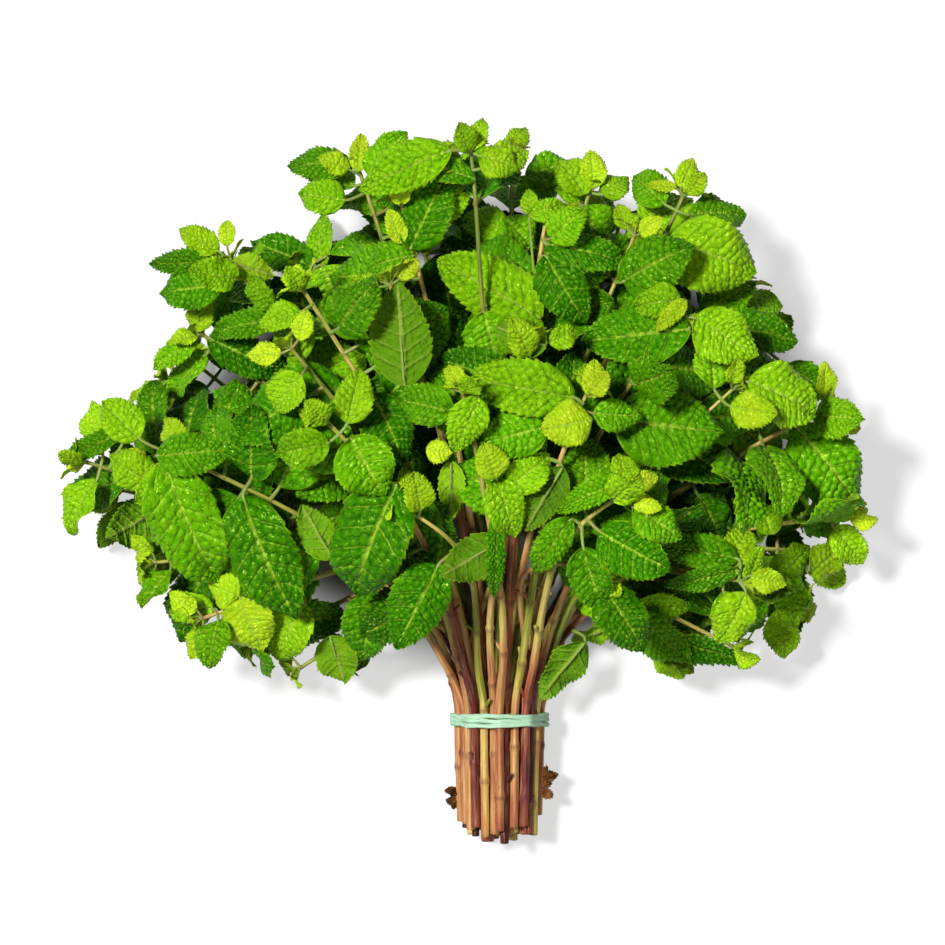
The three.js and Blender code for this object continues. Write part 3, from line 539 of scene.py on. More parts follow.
def petiole(shell, leaf, stalk, seed, kind):
    """The leaf's stalk, from the stem to the blade and on under the midrib."""
    start, base = leaf["from"], leaf["base"]
    way, face = leaf["set"]
    gap = float(np.linalg.norm(base - start))
    set_off = unit(base - start)
    u = np.linspace(0, 1, 9)[:, None]
    joined = base + way * 0.8 * MM - face * 0.35 * MM
    reach = min(gap, 14 * MM)
    path = eased(u, start, joined, set_off * reach, way * reach)
    radii = np.linspace(stalk * 1.25, stalk * 0.85, 9)
    radii[0] *= 1.25
    length, bend = leaf["length"], leaf["bend"]
    shares = np.linspace(0.06, 0.5, 6)
    angle = bend * shares
    run, drop = arc(bend, shares)
    under = (
        base
        + way * (run * length)[:, None]
        - face * (drop * length)[:, None]
        - (face * np.cos(angle)[:, None] + way * np.sin(angle)[:, None])
        * (MIDRIB_DEPTH * min(1, length / FULL_LENGTH) + 0.35 * MM)
    )
    path = np.concatenate([path, under])
    radii = np.concatenate([radii, np.linspace(stalk * 0.8, stalk * 0.3, 6)])
    tube(shell, path, radii, 8, STALK, seed, kind)


# ---------------------------------------------------------------- stems


def square_section(angle):
    """A square with rounded corners and a shallow groove in each side, corners at 0, 90, 180 and 270."""
    return 0.855 + 0.1 * np.cos(4 * angle) - 0.03 * np.cos(8 * angle)


def stem_line(rings):
    """A stem's middle line, corner direction and radius at short steps, from its section rings."""
    keys = sorted(rings)
    middles = np.array([rings[k][1] for k in keys])
    radii = np.array([rings[k][0] for k in keys])
    guides = []
    guide = None
    for k in keys:
        options = [rings[k][2], -rings[k][2], rings[k][3], -rings[k][3]]
        guide = options[0] if guide is None else max(options, key=lambda o: np.dot(o, guide))
        guides.append(guide)
    run = np.concatenate([[0], np.cumsum(np.linalg.norm(np.diff(middles, axis=0), axis=1))])
    at = np.linspace(0, run[-1], max(20, int(run[-1] / STEM_STEP)))
    path = smooth_through(run, middles, at)
    return path, smooth_through(run, np.array(guides), at), np.interp(at, run, radii), at


def nearest_on_line(path, point, way):
    """The corner of a path that passes nearest to a straight line through a point."""
    off = path - point
    ahead = np.clip(off @ way, 0, 45 * MM)
    miss = np.linalg.norm(off - ahead[:, None] * way, axis=1) + 0.03 * ahead
    return int(np.argmin(miss))


def joint_runs(leaf_runs, bare_from, random):
    """Distances along a stem at which it has a joint: under its leaves, and bare ones further down."""
    runs = []
    for run in sorted(leaf_runs, reverse=True):
        if not runs or runs[-1] - run > JOINT_APART:
            runs.append(run)
    at = min(runs) if runs else bare_from
    bare = []
    at = min(at, bare_from) - random.uniform(8, 20) * MM
    while at > FIRST_JOINT:
        bare.append(at)
        at -= random.uniform(24, 38) * MM
    return runs, bare


JOINT_APART = 6 * MM  # least distance between two joints
FIRST_JOINT = 8 * MM  # least height of a joint over the cut end
BARE_ABOVE_BAND = 60 * MM  # where a bare stem's joints start
STUBLESS_SHARE = 0.45  # of the bare joints
FAN_PALENESS_AND_PAINTED_LIGHT = 0.27  # how much paler and greener a stem gets above the band, partly its own colour and partly painted light against the crown's shadow
FAN_START, FAN_END = 44 * MM, 84 * MM  # where along a stem it does so


def stem_piece(shell, path, guides, radii, run, joints, bare, tone, random, seed):
    """A jointed square stem with the torn stubs of the side shoots that it has lost."""
    swell = np.ones(len(run))
    ring = np.zeros(len(run))
    for joint in joints + bare:
        wide = random.uniform(0.9, 1.5) * MM
        bump = np.exp(-(((run - joint) / wide) ** 2))
        swell += bump * random.uniform(0.2, 0.38) * (0.6 if joint in joints else 1.0)
        ring += np.exp(-(((run - joint) / (0.9 * MM)) ** 2))
    swell += 0.025 * np.sin(run / (7 * MM) + seed) + 0.018 * np.sin(run / (2.6 * MM) + seed * 2)
    total = run[-1]
    along, across, over = frames_along(path, guides[0])
    wave = 0.16 * MM * np.sin(run / (11 * MM) + seed * 1.7) * ramp(run, 0, 30 * MM)
    path = path + across * wave[:, None]
    green = ramp(run, 0.42 * total, 0.85 * total)
    drift = 0.1 * np.sin(run / (24 * MM) + seed) + 0.05 * np.sin(run / (6 * MM) + 2 * seed)
    # Paler above the band: partly the stem's own colour, partly painted light that makes up for the
    # crown's shadow.
    hue = np.clip(tone + drift + FAN_PALENESS_AND_PAINTED_LIGHT * ramp(run, FAN_START, FAN_END), 0.0, 1.0)
    crown_hue = np.clip(0.86 + 0.2 * (tone - 0.5) + drift, 0, 1)
    hue = hue * (1 - green) + crown_hue * green
    kind = np.stack([hue, run / total, np.clip(ring, 0, 1)], 1)
    tube(
        shell, path, radii * swell * 1.03, STEM_SIDES, 0, seed, kind[:, None, :],
        first=guides[0], outline=square_section,
    )
    for joint in bare:
        if random.random() < STUBLESS_SHARE:
            continue
        at = int(np.searchsorted(run, joint))
        at = min(max(at, 1), len(run) - 2)
        turn = random.uniform(0, 2 * math.pi)
        out = across[at] * math.cos(turn) + over[at] * math.sin(turn)
        way = unit(out * 0.75 + along[at] * random.uniform(0.5, 1.1))
        reach = random.uniform(1.6, 3.6) * MM
        start = path[at] + out * radii[at] * 0.4
        u = np.linspace(0, 1, 6)[:, None]
        stub = start + way * u * (reach + radii[at]) + along[at] * u**2 * 0.8 * MM
        thick = np.linspace(0.95, 0.62, 6) * MM * random.uniform(0.7, 1.0)
        thick[-2] *= 1.12
        torn = (np.clip(tone + random.uniform(-0.2, 0.45), 0, 1), 0.2, 0.35)
        tube(shell, stub, thick, 10, 0, seed + 5, torn)


def read_rim(name, top_y):
    """The outline of the band seen along the stems, as places across and up, in order round it."""
    node = Node(name)
    edge = node.co[np.abs(node.co[:, 1] - top_y) < 0.05 * MM][:, (0, 2)]
    centre = edge.mean(0)
    angle = np.arctan2(edge[:, 1] - centre[1], edge[:, 0] - centre[0])
    reach = np.linalg.norm(edge - centre, axis=1)
    outer = {}
    for a, r, p in zip(angle, reach, edge):
        slot = round(a / (2 * math.pi) * 48)
        if slot not in outer or r > outer[slot][0]:
            outer[slot] = (r, a, p)
    chosen = sorted(outer.values(), key=lambda o: o[1])
    return np.array([p for _, _, p in chosen]), centre


def band_strand(shell, outline, centre, height, inset, seed):
    """One turn of the band, drawn taut round the stems, a little wavy and twisted on itself."""
    closed = np.concatenate([outline, outline[:1]])
    run = np.concatenate([[0], np.cumsum(np.linalg.norm(np.diff(closed, axis=0), axis=1))])
    at = np.linspace(0, run[-1], STRAND_STEPS, endpoint=False)
    across = np.interp(at, run, closed[:, 0])
    up = np.interp(at, run, closed[:, 1])
    for _ in range(5):
        across = (np.roll(across, 1) + 2 * across + np.roll(across, -1)) / 4
        up = (np.roll(up, 1) + 2 * up + np.roll(up, -1)) / 4
    out = np.stack([across - centre[0], up - centre[1]], 1)
    out /= np.linalg.norm(out, axis=1, keepdims=True)
    share = at / run[-1] * 2 * math.pi
    wavy = height + 0.22 * MM * np.sin(3 * share + seed * 1.9) + 0.1 * MM * np.sin(11 * share + seed)
    path = np.stack([across - out[:, 0] * inset, wavy, up - out[:, 1] * inset], 1)
    angle = np.arange(STRAND_SIDES) / STRAND_SIDES * 2 * math.pi
    twist = 0.5 * np.sin(2 * share + seed * 2.3) + 0.3 * np.sin(5 * share + seed)
    turned = angle[None, :] + twist[:, None]
    wide = STRAND_HALF_WIDTH * (1 + 0.06 * np.sin(7 * share + seed))[:, None]
    local_out = STRAND_HALF_THICKNESS * np.sign(np.cos(turned)) * np.abs(np.cos(turned)) ** 0.8
    local_up = wide * np.sign(np.sin(turned)) * np.abs(np.sin(turned)) ** 0.8
    local_out = local_out * (1 + 0.12 * np.cos(3 * angle)[None, :])
    points = path[:, None, :] + np.zeros((1, STRAND_SIDES, 3))
    points[:, :, 0] += local_out * out[:, 0:1]
    points[:, :, 2] += local_out * out[:, 1:2]
    points[:, :, 1] += local_up
    rows = STRAND_STEPS
    quads = grid_faces(rows, STRAND_SIDES, closed=True)
    c = np.arange(STRAND_SIDES)
    last = (rows - 1) * STRAND_SIDES
    after = (c + 1) % STRAND_SIDES
    close = np.stack([last + c, last + after, after, c], 1)
    place = grain_place(angle, at, 0.8).reshape(-1, 3) + seed * 13.7
    faces = [quads[:, ::-1], close[:, ::-1]]
    shell.add(points.reshape(-1, 3), faces, 0, place, np.zeros(3), np.array([seed / 3, 0, 0]))


# ---------------------------------------------------------------- finishes


def paint(red, green, blue):
    """A colour for a shader from its three screen values between 0 and 255."""
    linear = [
        c / 255 / 12.92 if c / 255 <= 0.04045 else ((c / 255 + 0.055) / 1.055) ** 2.4
        for c in (red, green, blue)
    ]
    return (*linear, 1.0)


class Tree:
    """Short words for placing and joining shader nodes in one tree."""

    def __init__(self, tree):
        self.tree = tree

    def put(self, kind, inputs=None, **settings):
        node = self.tree.nodes.new(kind)
        for key, value in settings.items():
            setattr(node, key, value)
        for key, value in (inputs or {}).items():
            self.feed(node.inputs[key], value)
        return node

    def feed(self, socket, value):
        if isinstance(value, bpy.types.NodeSocket):
            self.tree.links.new(value, socket)
        else:
            socket.default_value = value

    def math(self, operation, a, b=0.0, clamp=False):
        return self.put("ShaderNodeMath", {0: a, 1: b}, operation=operation, use_clamp=clamp).outputs[0]

    def plus(self, a, b):
        return self.math("ADD", a, b)

    def minus(self, a, b):
        return self.math("SUBTRACT", a, b)

    def times(self, a, b, clamp=False):
        return self.math("MULTIPLY", a, b, clamp)

    def mix(self, share, a, b, blend="MIX"):
        node = self.put("ShaderNodeMix", {0: share, 6: a, 7: b}, data_type="RGBA", blend_type=blend)
        return node.outputs[2]

    def span(self, value, low, high, to_low=0.0, to_high=1.0, soft=True):
        kind = "SMOOTHSTEP" if soft else "LINEAR"
        sockets = {0: value, 1: low, 2: high, 3: to_low, 4: to_high}
        return self.put("ShaderNodeMapRange", sockets, interpolation_type=kind).outputs[0]

    def noise(self, place, scale, detail=2.0, rough=0.5, distortion=0.0):
        sockets = {"Vector": place, "Scale": scale, "Detail": detail}
        sockets.update({"Roughness": rough, "Distortion": distortion})
        return self.put("ShaderNodeTexNoise", sockets).outputs["Fac"]

    def stretched(self, place, across, along):
        sockets = {0: place, 1: (across, across, along)}
        return self.put("ShaderNodeVectorMath", sockets, operation="MULTIPLY").outputs[0]

    def values(self, name):
        """A corner value of the piece as a vector and as its three parts."""
        vector = self.put("ShaderNodeAttribute", attribute_name=name).outputs["Vector"]
        parts = self.put("ShaderNodeSeparateXYZ", {0: vector})
        return vector, parts.outputs[0], parts.outputs[1], parts.outputs[2]

    def palette(self, value, stops):
        node = self.put("ShaderNodeValToRGB", {0: value})
        ramp_stops = node.color_ramp.elements
        while len(ramp_stops) < len(stops):
            ramp_stops.new(0.5)
        for stop, (place, colour) in zip(ramp_stops, stops):
            stop.position = place
            stop.color = colour
        return node.outputs[0]

    def group(self, shared, inputs):
        node = self.put("ShaderNodeGroup", node_tree=shared)
        for key, value in inputs.items():
            self.feed(node.inputs[key], value)
        return node.outputs

    def bump(self, height, strength, distance):
        return self.put(
            "ShaderNodeBump", {"Strength": strength, "Distance": distance, "Height": height}
        ).outputs[0]


def shared_group(name, inputs, outputs):
    """A shader node group with named inputs and outputs, all numbers but Place, and its two end nodes."""
    tree = bpy.data.node_groups.new(name, "ShaderNodeTree")
    for title in inputs:
        kind = "NodeSocketVector" if title == "Place" else "NodeSocketFloat"
        tree.interface.new_socket(title, in_out="INPUT", socket_type=kind)
    for title in outputs:
        tree.interface.new_socket(title, in_out="OUTPUT", socket_type="NodeSocketFloat")
    start = tree.nodes.new("NodeGroupInput")
    end = tree.nodes.new("NodeGroupOutput")
    return Tree(tree), start.outputs, end.inputs


def veins_group():
    """Masks of a blade's midrib, side veins, fine net and margin."""
    t, given, out = shared_group(
        "leaf_veins",
        ("Across", "Vein", "Crease", "Place"),
        ("Midrib", "Side veins", "Net", "Margin"),
    )
    off = t.math("ABSOLUTE", given["Across"])
    t.feed(out["Midrib"], t.span(off, 0.03, 0.1, 1.0, 0.0))
    wander = t.times(t.minus(t.noise(given["Place"], 0.35), 0.5), 0.22)
    beat = t.math("FRACT", t.plus(given["Vein"], t.plus(wander, 0.5)))
    nearness = t.math("ABSOLUTE", t.minus(beat, 0.5))
    side = t.span(nearness, 0.02, 0.085, 1.0, 0.0)
    inner = t.span(off, 0.8, 0.97, 1.0, 0.15)
    t.feed(out["Side veins"], t.times(side, inner))
    t.feed(out["Net"], t.span(given["Crease"], 0.12, 0.52, 1.0, 0.0))
    t.feed(out["Margin"], t.span(off, 0.93, 0.99, 0.0, 1.0))
    return t.tree


def grain_group():
    """The fine skin of a blade: small puffed cells and a fine grain, as a height and a mottling."""
    t, given, out = shared_group("leaf_grain", ("Place", "Size"), ("Height", "Mottling", "Mesh"))
    sockets = {"Vector": given["Place"], "Scale": 0.6, "Detail": 2.0}
    bent = t.put("ShaderNodeTexNoise", sockets).outputs["Color"]
    pushed = t.put("ShaderNodeVectorMath", {0: bent, 1: (0.9, 0.9, 0.9)}, operation="MULTIPLY").outputs[0]
    moved = t.put("ShaderNodeVectorMath", {0: given["Place"], 1: pushed}, operation="ADD").outputs[0]
    edges = t.put(
        "ShaderNodeTexVoronoi",
        {"Vector": moved, "Scale": t.times(given["Size"], 0.5), "Randomness": 0.85},
        feature="DISTANCE_TO_EDGE",
    ).outputs["Distance"]
    net = t.span(edges, 0.0, 0.16)
    t.feed(out["Mesh"], t.minus(1.0, net))
    cells = t.put(
        "ShaderNodeTexVoronoi", {"Vector": given["Place"], "Scale": given["Size"], "Randomness": 0.9},
        feature="SMOOTH_F1",
    ).outputs["Distance"]
    fine = t.noise(given["Place"], t.times(given["Size"], 3.6), 3.0, 0.6)
    puffed = t.minus(1.0, t.times(cells, 1.3))
    grained = t.plus(t.times(puffed, 0.5), t.times(fine, 0.35))
    t.feed(out["Height"], t.plus(grained, t.times(t.span(edges, 0.0, 0.3), 1.3)))
    t.feed(out["Mottling"], t.noise(given["Place"], 0.22, 4.0, 0.6))
    return t.tree


def blemish_group():
    """Small dark specks and worn patches that old leaves and stems have."""
    t, given, out = shared_group("blemishes", ("Place", "Amount"), ("Specks", "Patches"))
    dots = t.noise(given["Place"], 0.9, 2.0, 0.5)
    large = t.noise(given["Place"], 0.16, 3.0, 0.65, 0.6)
    spots = t.span(dots, 0.69, 0.78)
    patch = t.span(large, 0.62, 0.72)
    t.feed(out["Specks"], t.times(spots, given["Amount"], clamp=True))
    t.feed(out["Patches"], t.times(patch, given["Amount"], clamp=True))
    return t.tree


def streaks_group():
    """Streaks along a stem, a stalk or a strand of the band, as masks and a height."""
    t, given, out = shared_group("length_streaks", ("Place", "Fineness"), ("Broad", "Fine", "Height"))
    broad = t.noise(t.stretched(given["Place"], 0.55, 0.045), given["Fineness"], 3.0, 0.55)
    fine = t.noise(t.stretched(given["Place"], 2.4, 0.1), given["Fineness"], 3.0, 0.6)
    t.feed(out["Broad"], broad)
    t.feed(out["Fine"], fine)
    t.feed(out["Height"], t.plus(t.times(broad, 0.5), fine))
    return t.tree


VEINS, GRAIN, BLEMISHES, STREAKS = veins_group(), grain_group(), blemish_group(), streaks_group()


def new_material(name, roughness, specular, **fixed):
    """A named material with its Principled BSDF set, ready for nodes."""
    material = bpy.data.materials.new(name)
    material.use_nodes = True
    shader = material.node_tree.nodes["Principled BSDF"]
    shader.inputs["Roughness"].default_value = roughness
    shader.inputs["Specular IOR Level"].default_value = specular
    for key, value in fixed.items():
        shader.inputs[key.replace("_", " ")].default_value = value
    return material, Tree(material.node_tree), shader.inputs


BLADE_COLOURS = [  # from the youngest leaf to the oldest, and a dried one at the end
    (0.0, paint(206, 234, 40)),
    (0.12, paint(160, 216, 20)),
    (0.27, paint(98, 174, 6)),
    (0.42, paint(56, 134, 2)),
    (0.56, paint(32, 96, 1)),
    (0.75, paint(26, 68, 3)),
    (1.0, paint(96, 66, 34)),
]
DRIED_COLOURS = [(0.35, paint(74, 44, 24)), (0.55, paint(128, 82, 48)), (0.7, paint(170, 122, 78))]


def blade_material(name, under):
    roughness, specular = (0.62, 0.16) if under else (0.34, 0.4)
    material, t, skin = new_material(name, roughness, specular, Specular_Tint=(0.78, 1.0, 0.16, 1))
    place, _, _, _ = t.values("place")
    _, across, vein, crease = t.values("lines")
    _, age, tone, gloss = t.values("kind")
    grain = t.group(GRAIN, {"Place": place, "Size": 0.8})
    lines = t.group(VEINS, {"Across": across, "Vein": vein, "Crease": crease, "Place": place})
    worn = t.group(BLEMISHES, {"Place": place, "Amount": t.span(age, 0.45, 1.1, 0.0, 0.85)})
    mottled = t.times(t.minus(grain["Mottling"], 0.5), 0.2)
    toned = t.plus(t.times(age, 0.5), mottled)
    colour = t.palette(toned, BLADE_COLOURS)
    if under:
        colour = t.mix(0.45, colour, paint(116, 150, 30))
        line_colour, line_share = paint(164, 190, 76), 0.65
    else:
        line_colour, line_share = paint(178, 216, 62), 0.6
    pale = t.times(lines["Midrib"], line_share * 1.25, clamp=True)
    colour = t.mix(pale, colour, line_colour)
    colour = t.mix(t.times(lines["Side veins"], line_share * 0.55), colour, line_colour)
    if under:
        colour = t.mix(t.times(lines["Net"], 0.2), colour, line_colour)
    else:
        # Painted shade: the sunken net of creases between the cells is darkened, more so on older leaves.
        deep = t.times(lines["Net"], t.span(age, 0.05, 0.5, 0.22, 0.62))
        colour = t.mix(deep, colour, paint(18, 62, 1))
        # Painted shade along the fine sunken cell borders of the grain.
        painted_border_shade = t.times(grain["Mesh"], 0.12)
        colour = t.mix(painted_border_shade, colour, paint(22, 70, 2))
        # Painted highlight: the puffed tops of the cells are lightened.
        high = t.times(t.span(crease, 0.7, 1.0), 0.18)
        colour = t.mix(high, colour, paint(116, 192, 6))
    colour = t.mix(t.times(lines["Margin"], 0.4), colour, paint(176, 214, 36))
    colour = t.mix(t.times(worn["Specks"], 0.75), colour, paint(44, 34, 14))
    colour = t.mix(t.times(worn["Patches"], 0.35), colour, paint(104, 104, 30))
    dried = t.palette(grain["Mottling"], DRIED_COLOURS)
    colour = t.mix(t.span(age, 1.2, 1.8), colour, dried)
    shade = t.span(tone, 0.0, 1.0, 0.68, 1.1, soft=False)
    shade = t.put("ShaderNodeCombineXYZ", {0: shade, 1: shade, 2: shade}).outputs[0]
    colour = t.mix(1.0, colour, shade, "MULTIPLY")
    t.feed(skin["Base Color"], colour)
    if not under:
        wet = t.times(gloss, 0.14)
        rough = t.plus(t.span(t.noise(place, 0.5, 3.0), 0.3, 0.7, 0.16, 0.36), 0.1)
        rough = t.minus(rough, wet)
        t.feed(skin["Roughness"], rough)
    height = t.plus(grain["Height"], t.times(lines["Side veins"], 0.8 if under else -0.8))
    height = t.plus(height, t.times(lines["Net"], -1.6))
    t.feed(skin["Normal"], t.bump(height, 0.5, 0.00032))
    return material


def stalk_material():
    material, t, skin = new_material("leaf_stalk", 0.42, 0.4)
    place, _, _, _ = t.values("place")
    _, age, tone, _ = t.values("kind")
    streaks = t.group(STREAKS, {"Place": place, "Fineness": 1.2})
    colour = t.palette(
        t.plus(t.times(tone, 0.5), t.times(streaks["Broad"], 0.5)),
        [(0.0, paint(150, 186, 70)), (0.45, paint(128, 166, 54)), (0.72, paint(150, 140, 66)),
         (1.0, paint(132, 70, 64))],
    )
    colour = t.mix(t.times(streaks["Fine"], 0.3), colour, paint(196, 206, 132))
    colour = t.mix(t.span(age, 0.9, 1.6), colour, paint(96, 70, 40))
    t.feed(skin["Base Color"], colour)
    t.feed(skin["Normal"], t.bump(streaks["Height"], 0.5, 0.00018))
    return material


def stem_material():
    material, t, skin = new_material("mint_stem", 0.4, 0.34)
    place, _, _, _ = t.values("place")
    _, _, cut, _ = t.values("lines")
    _, tone, along, joint = t.values("kind")
    streaks = t.group(STREAKS, {"Place": place, "Fineness": 1.0})
    worn = t.group(BLEMISHES, {"Place": place, "Amount": 0.75})
    drift = t.times(t.minus(streaks["Broad"], 0.5), 0.7)
    colour = t.palette(
        t.plus(tone, drift),
        [(0.0, paint(52, 16, 14)), (0.2, paint(110, 40, 42)), (0.42, paint(176, 98, 64)),
         (0.6, paint(210, 152, 92)), (0.74, paint(232, 208, 112)), (0.86, paint(180, 180, 66)),
         (1.0, paint(116, 146, 50))],
    )
    fine = t.span(streaks["Fine"], 0.52, 0.7, 0.0, 0.42)
    colour = t.mix(fine, colour, paint(228, 196, 150))
    dark = t.span(streaks["Fine"], 0.3, 0.46, 0.4, 0.0)
    colour = t.mix(dark, colour, paint(78, 34, 26))
    colour = t.mix(t.times(joint, 0.62), colour, paint(104, 44, 52))
    colour = t.mix(t.times(worn["Specks"], 0.8), colour, paint(58, 34, 22))
    colour = t.mix(t.times(worn["Patches"], 0.4), colour, paint(150, 112, 60))
    flesh = t.mix(t.span(t.noise(place, 1.6, 3.0), 0.4, 0.62), paint(206, 198, 96), paint(150, 110, 58))
    colour = t.mix(t.span(cut, 0.3, 0.6), colour, flesh)
    t.feed(skin["Base Color"], colour)
    t.feed(skin["Roughness"], t.span(streaks["Fine"], 0.3, 0.7, 0.28, 0.5))
    height = t.plus(streaks["Height"], t.times(t.noise(place, 1.4, 3.0), 0.5))
    t.feed(skin["Normal"], t.bump(height, 0.7, 0.0003))
    return material


def band_material():
    material, t, skin = new_material("rubber_strand", 0.5, 0.4)
    place, _, _, _ = t.values("place")
    streaks = t.group(STREAKS, {"Place": place, "Fineness": 1.6})
    worn = t.group(BLEMISHES, {"Place": place, "Amount": 0.6})
    # The strand's colour follows its streaks: around the rubber's own pale green, the pale end is a
    # painted highlight on the raised streaks and the dark end painted shade in the sunken ones.
    colour = t.palette(
        streaks["Fine"],
        [(0.3, paint(128, 184, 146)), (0.45, paint(182, 228, 192)), (0.62, paint(206, 242, 210)),
         (0.8, paint(226, 250, 228))],
    )
    colour = t.mix(t.times(worn["Patches"], 0.5), colour, paint(146, 202, 164))
    t.feed(skin["Base Color"], colour)
    t.feed(skin["Roughness"], t.span(streaks["Fine"], 0.3, 0.7, 0.42, 0.62))
    t.feed(skin["Normal"], t.bump(streaks["Height"], 0.8, 0.0003))
    return material


LEAF_FINISHES = [
    blade_material("leaf_upper", False),
    blade_material("leaf_underside", True),
    stalk_material(),
]
STEM_FINISHES = [stem_material()]
BAND_FINISHES = [band_material()]

# ---------------------------------------------------------------- the sprigs

# Leaves on the outside of the crown whose age stands out: the middle of the blade from the band's middle
# in mm, across and along the bunch, its age from 0 (young, yellow-green) to 1 (old, dark), and its gloss.
NOTED_LEAVES = [
    (-3, 156, 0.36, 1.0), (6, 122, 0.38, 0.7), (57, 181, 0.3, 0.8), (78, 171, 0.3, 0.8),
    (81, 140, 0.32, 0.7), (102, 118, 0.32, 0.6), (97, 103, 0.42, 0.6), (2, 76, 0.38, 0.8),
    (-48, 92, 0.5, 1.0), (-64, 127, 0.4, 1.0), (-64, 159, 0.42, 0.6), (-70, 34, 0.3, 0.6),
    (-138, 108, 0.3, 0.5), (86, 37, 0.25, 0.5), (-114, 70, 0.52, 0.8), (-34, 201, 0.4, 0.8),
    (-93, 33, 0.1, 0.5), (24, 107, 0.08, 0.5), (-47, 64, 0.9, 0.4), (-33, 66, 0.85, 0.4),
    (-40, 106, 0.92, 0.9), (-87, 59, 0.85, 0.9), (-27, 186, 0.8, 0.6), (24, 157, 0.85, 0.9),
    (23, 135, 0.8, 0.8), (73, 78, 0.8, 0.6), (78, 73, 0.8, 0.6), (34, 55, 0.72, 0.5),
    (31, 171, 0.8, 0.0), (24, 15, 0.8, 0.2), (61, 107, 0.62, 0.7),
]

reading = {}
for name in sorted(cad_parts):
    if name == "rubber_band":
        continue
    node = Node(name)
    leaves = [leaf for leaf in (read_leaf(node, i) for i in range(len(node.co))) if leaf]
    taken = set().union(*(leaf["corners"] for leaf in leaves)) if leaves else set()
    reading[name] = (leaves, read_stem(node, taken))

(low_x, low_y, _), (high_x, high_y, top_z) = cad_box
band_low, band_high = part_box("rubber_band")
band_middle = (np.array(band_low) + np.array(band_high)) / 2

every = [leaf for leaves, _ in reading.values() for leaf in leaves]
noted = {}
for across, along, age, gloss in NOTED_LEAVES:
    from_x, from_y = band_middle[0] + across * MM, band_middle[1] + along * MM
    near = [leaf for leaf in every
            if math.hypot(leaf["middle"][0] - from_x, leaf["middle"][1] - from_y) < 10 * MM
            and leaf["length"] > 13 * MM]
    if near:
        best = max(near, key=lambda leaf: leaf["middle"][2])
        noted[id(best)] = (age, gloss)


# The leafy stems that run down the two sides of the tail, with the side that each is on.
SCRAPS = 4
DRIED_AGE = 2.0
tail_x = {}
for name, (leaves, rings) in reading.items():
    if leaves:
        tail_x[name] = rings[min(rings)][1][0]
scraps = {min(tail_x, key=tail_x.get): -1.0, max(tail_x, key=tail_x.get): 1.0}


def leaf_kind(leaf, random):
    """A leaf's age, tone and gloss, from its size and how deep it stands in the crown."""
    if id(leaf) in noted:
        age, gloss = noted[id(leaf)]
        return np.array([age, random.uniform(0.35, 0.75), gloss])
    size = leaf["length"] / (38 * MM)
    age = 0.12 + 0.62 * ramp(size, 0.25, 0.85) + random.uniform(-0.16, 0.2)
    outward = abs(leaf["middle"][0]) / max(high_x, -low_x)
    age -= 0.16 * ramp(outward, 0.45, 0.95)
    age += 0.1 * (1 - ramp(leaf["middle"][2] / top_z, 0.15, 0.6))
    return np.array([np.clip(age, 0.0, 1.0), random.uniform(0.1, 0.95), random.uniform(0.1, 0.9)])


def small_leaf(start, base, way, face, shape, quilting):
    """A leaf that has no CAD leaf of its own; its shape is its length, width, bend and fold."""
    face = unit(face - way * np.dot(face, way))
    leaf = {"from": start, "base": base, "way": way, "face": face, "side": np.cross(way, face)}
    leaf.update(zip(("length", "width", "bend", "fold"), shape))
    return {**leaf, "quilting": quilting}


def tip_bud(shell, tip, way, guide, size, seed, random):
    """The three smallest pairs of leaves, folded round the growing tip of a sprig."""
    across = unit(guide - way * np.dot(guide, way))
    over = np.cross(way, across)
    for pair in range(3):
        for hand in (0, 1):
            turn = pair * math.pi / 2 + hand * math.pi + random.uniform(-0.25, 0.25)
            out = across * math.cos(turn) + over * math.sin(turn)
            tilt = 1.25 - 0.35 * pair + random.uniform(-0.2, 0.2)
            direction = unit(way + out * tilt)
            face = unit(way * 0.6 - out)
            length = (9.4 - 2.6 * pair) * MM * size * random.uniform(0.85, 1.15)
            bend, fold = random.uniform(0.1, 0.9), random.uniform(0.15, 0.4)
            start = tip - way * (1.2 - 0.3 * pair) * MM
            base = tip + out * 0.5 * MM + direction * 0.6 * MM + way * 0.2 * pair * MM
            leaf = small_leaf(start, base, direction, face, (length, length * 0.5, bend, fold), 1.3)
            age = np.clip(0.1 - 0.03 * pair + random.uniform(-0.05, 0.06), 0, 1)
            kind = np.array([age, random.uniform(0.5, 1.0), 0.4])
            stalk = leaf_shell(shell, leaf, seed + pair * 2 + hand, kind)
            petiole(shell, leaf, stalk * 0.8, seed + 40 + pair, kind)


def dried_scraps(shell, path, radii, hand, seed, random):
    """Dried remains of leaves that cling to the outer side of a stem near its cut end."""
    for scrap in range(SCRAPS):
        at = int(len(path) * (0.05 + 0.012 * scrap + random.uniform(0.0, 0.01)))
        out = unit(np.array([hand, random.uniform(-1.2, 0.9), random.uniform(0.0, 0.7)]))
        along = unit(path[at + 1] - path[at])
        face = unit(np.cross(out, along) * -hand + out * 0.2)
        length = random.uniform(5.0, 8.0) * MM
        width = length * random.uniform(0.45, 0.75)
        bend, fold = random.uniform(-0.9, 1.2), random.uniform(0.3, 0.7)
        base = path[at] + out * radii[at] * 0.4
        leaf = small_leaf(path[at], base, out, face, (length, width, bend, fold), 1.6)
        leaf_shell(shell, leaf, seed + scrap, np.array([DRIED_AGE, random.uniform(0.1, 0.8), 0.1]))


SEED_STEP = 100
STEM_TONES = [0.44, 0.16, 0.58, 0.34, 0.7, 0.1, 0.5, 0.24, 0.78, 0.4, 0.6]

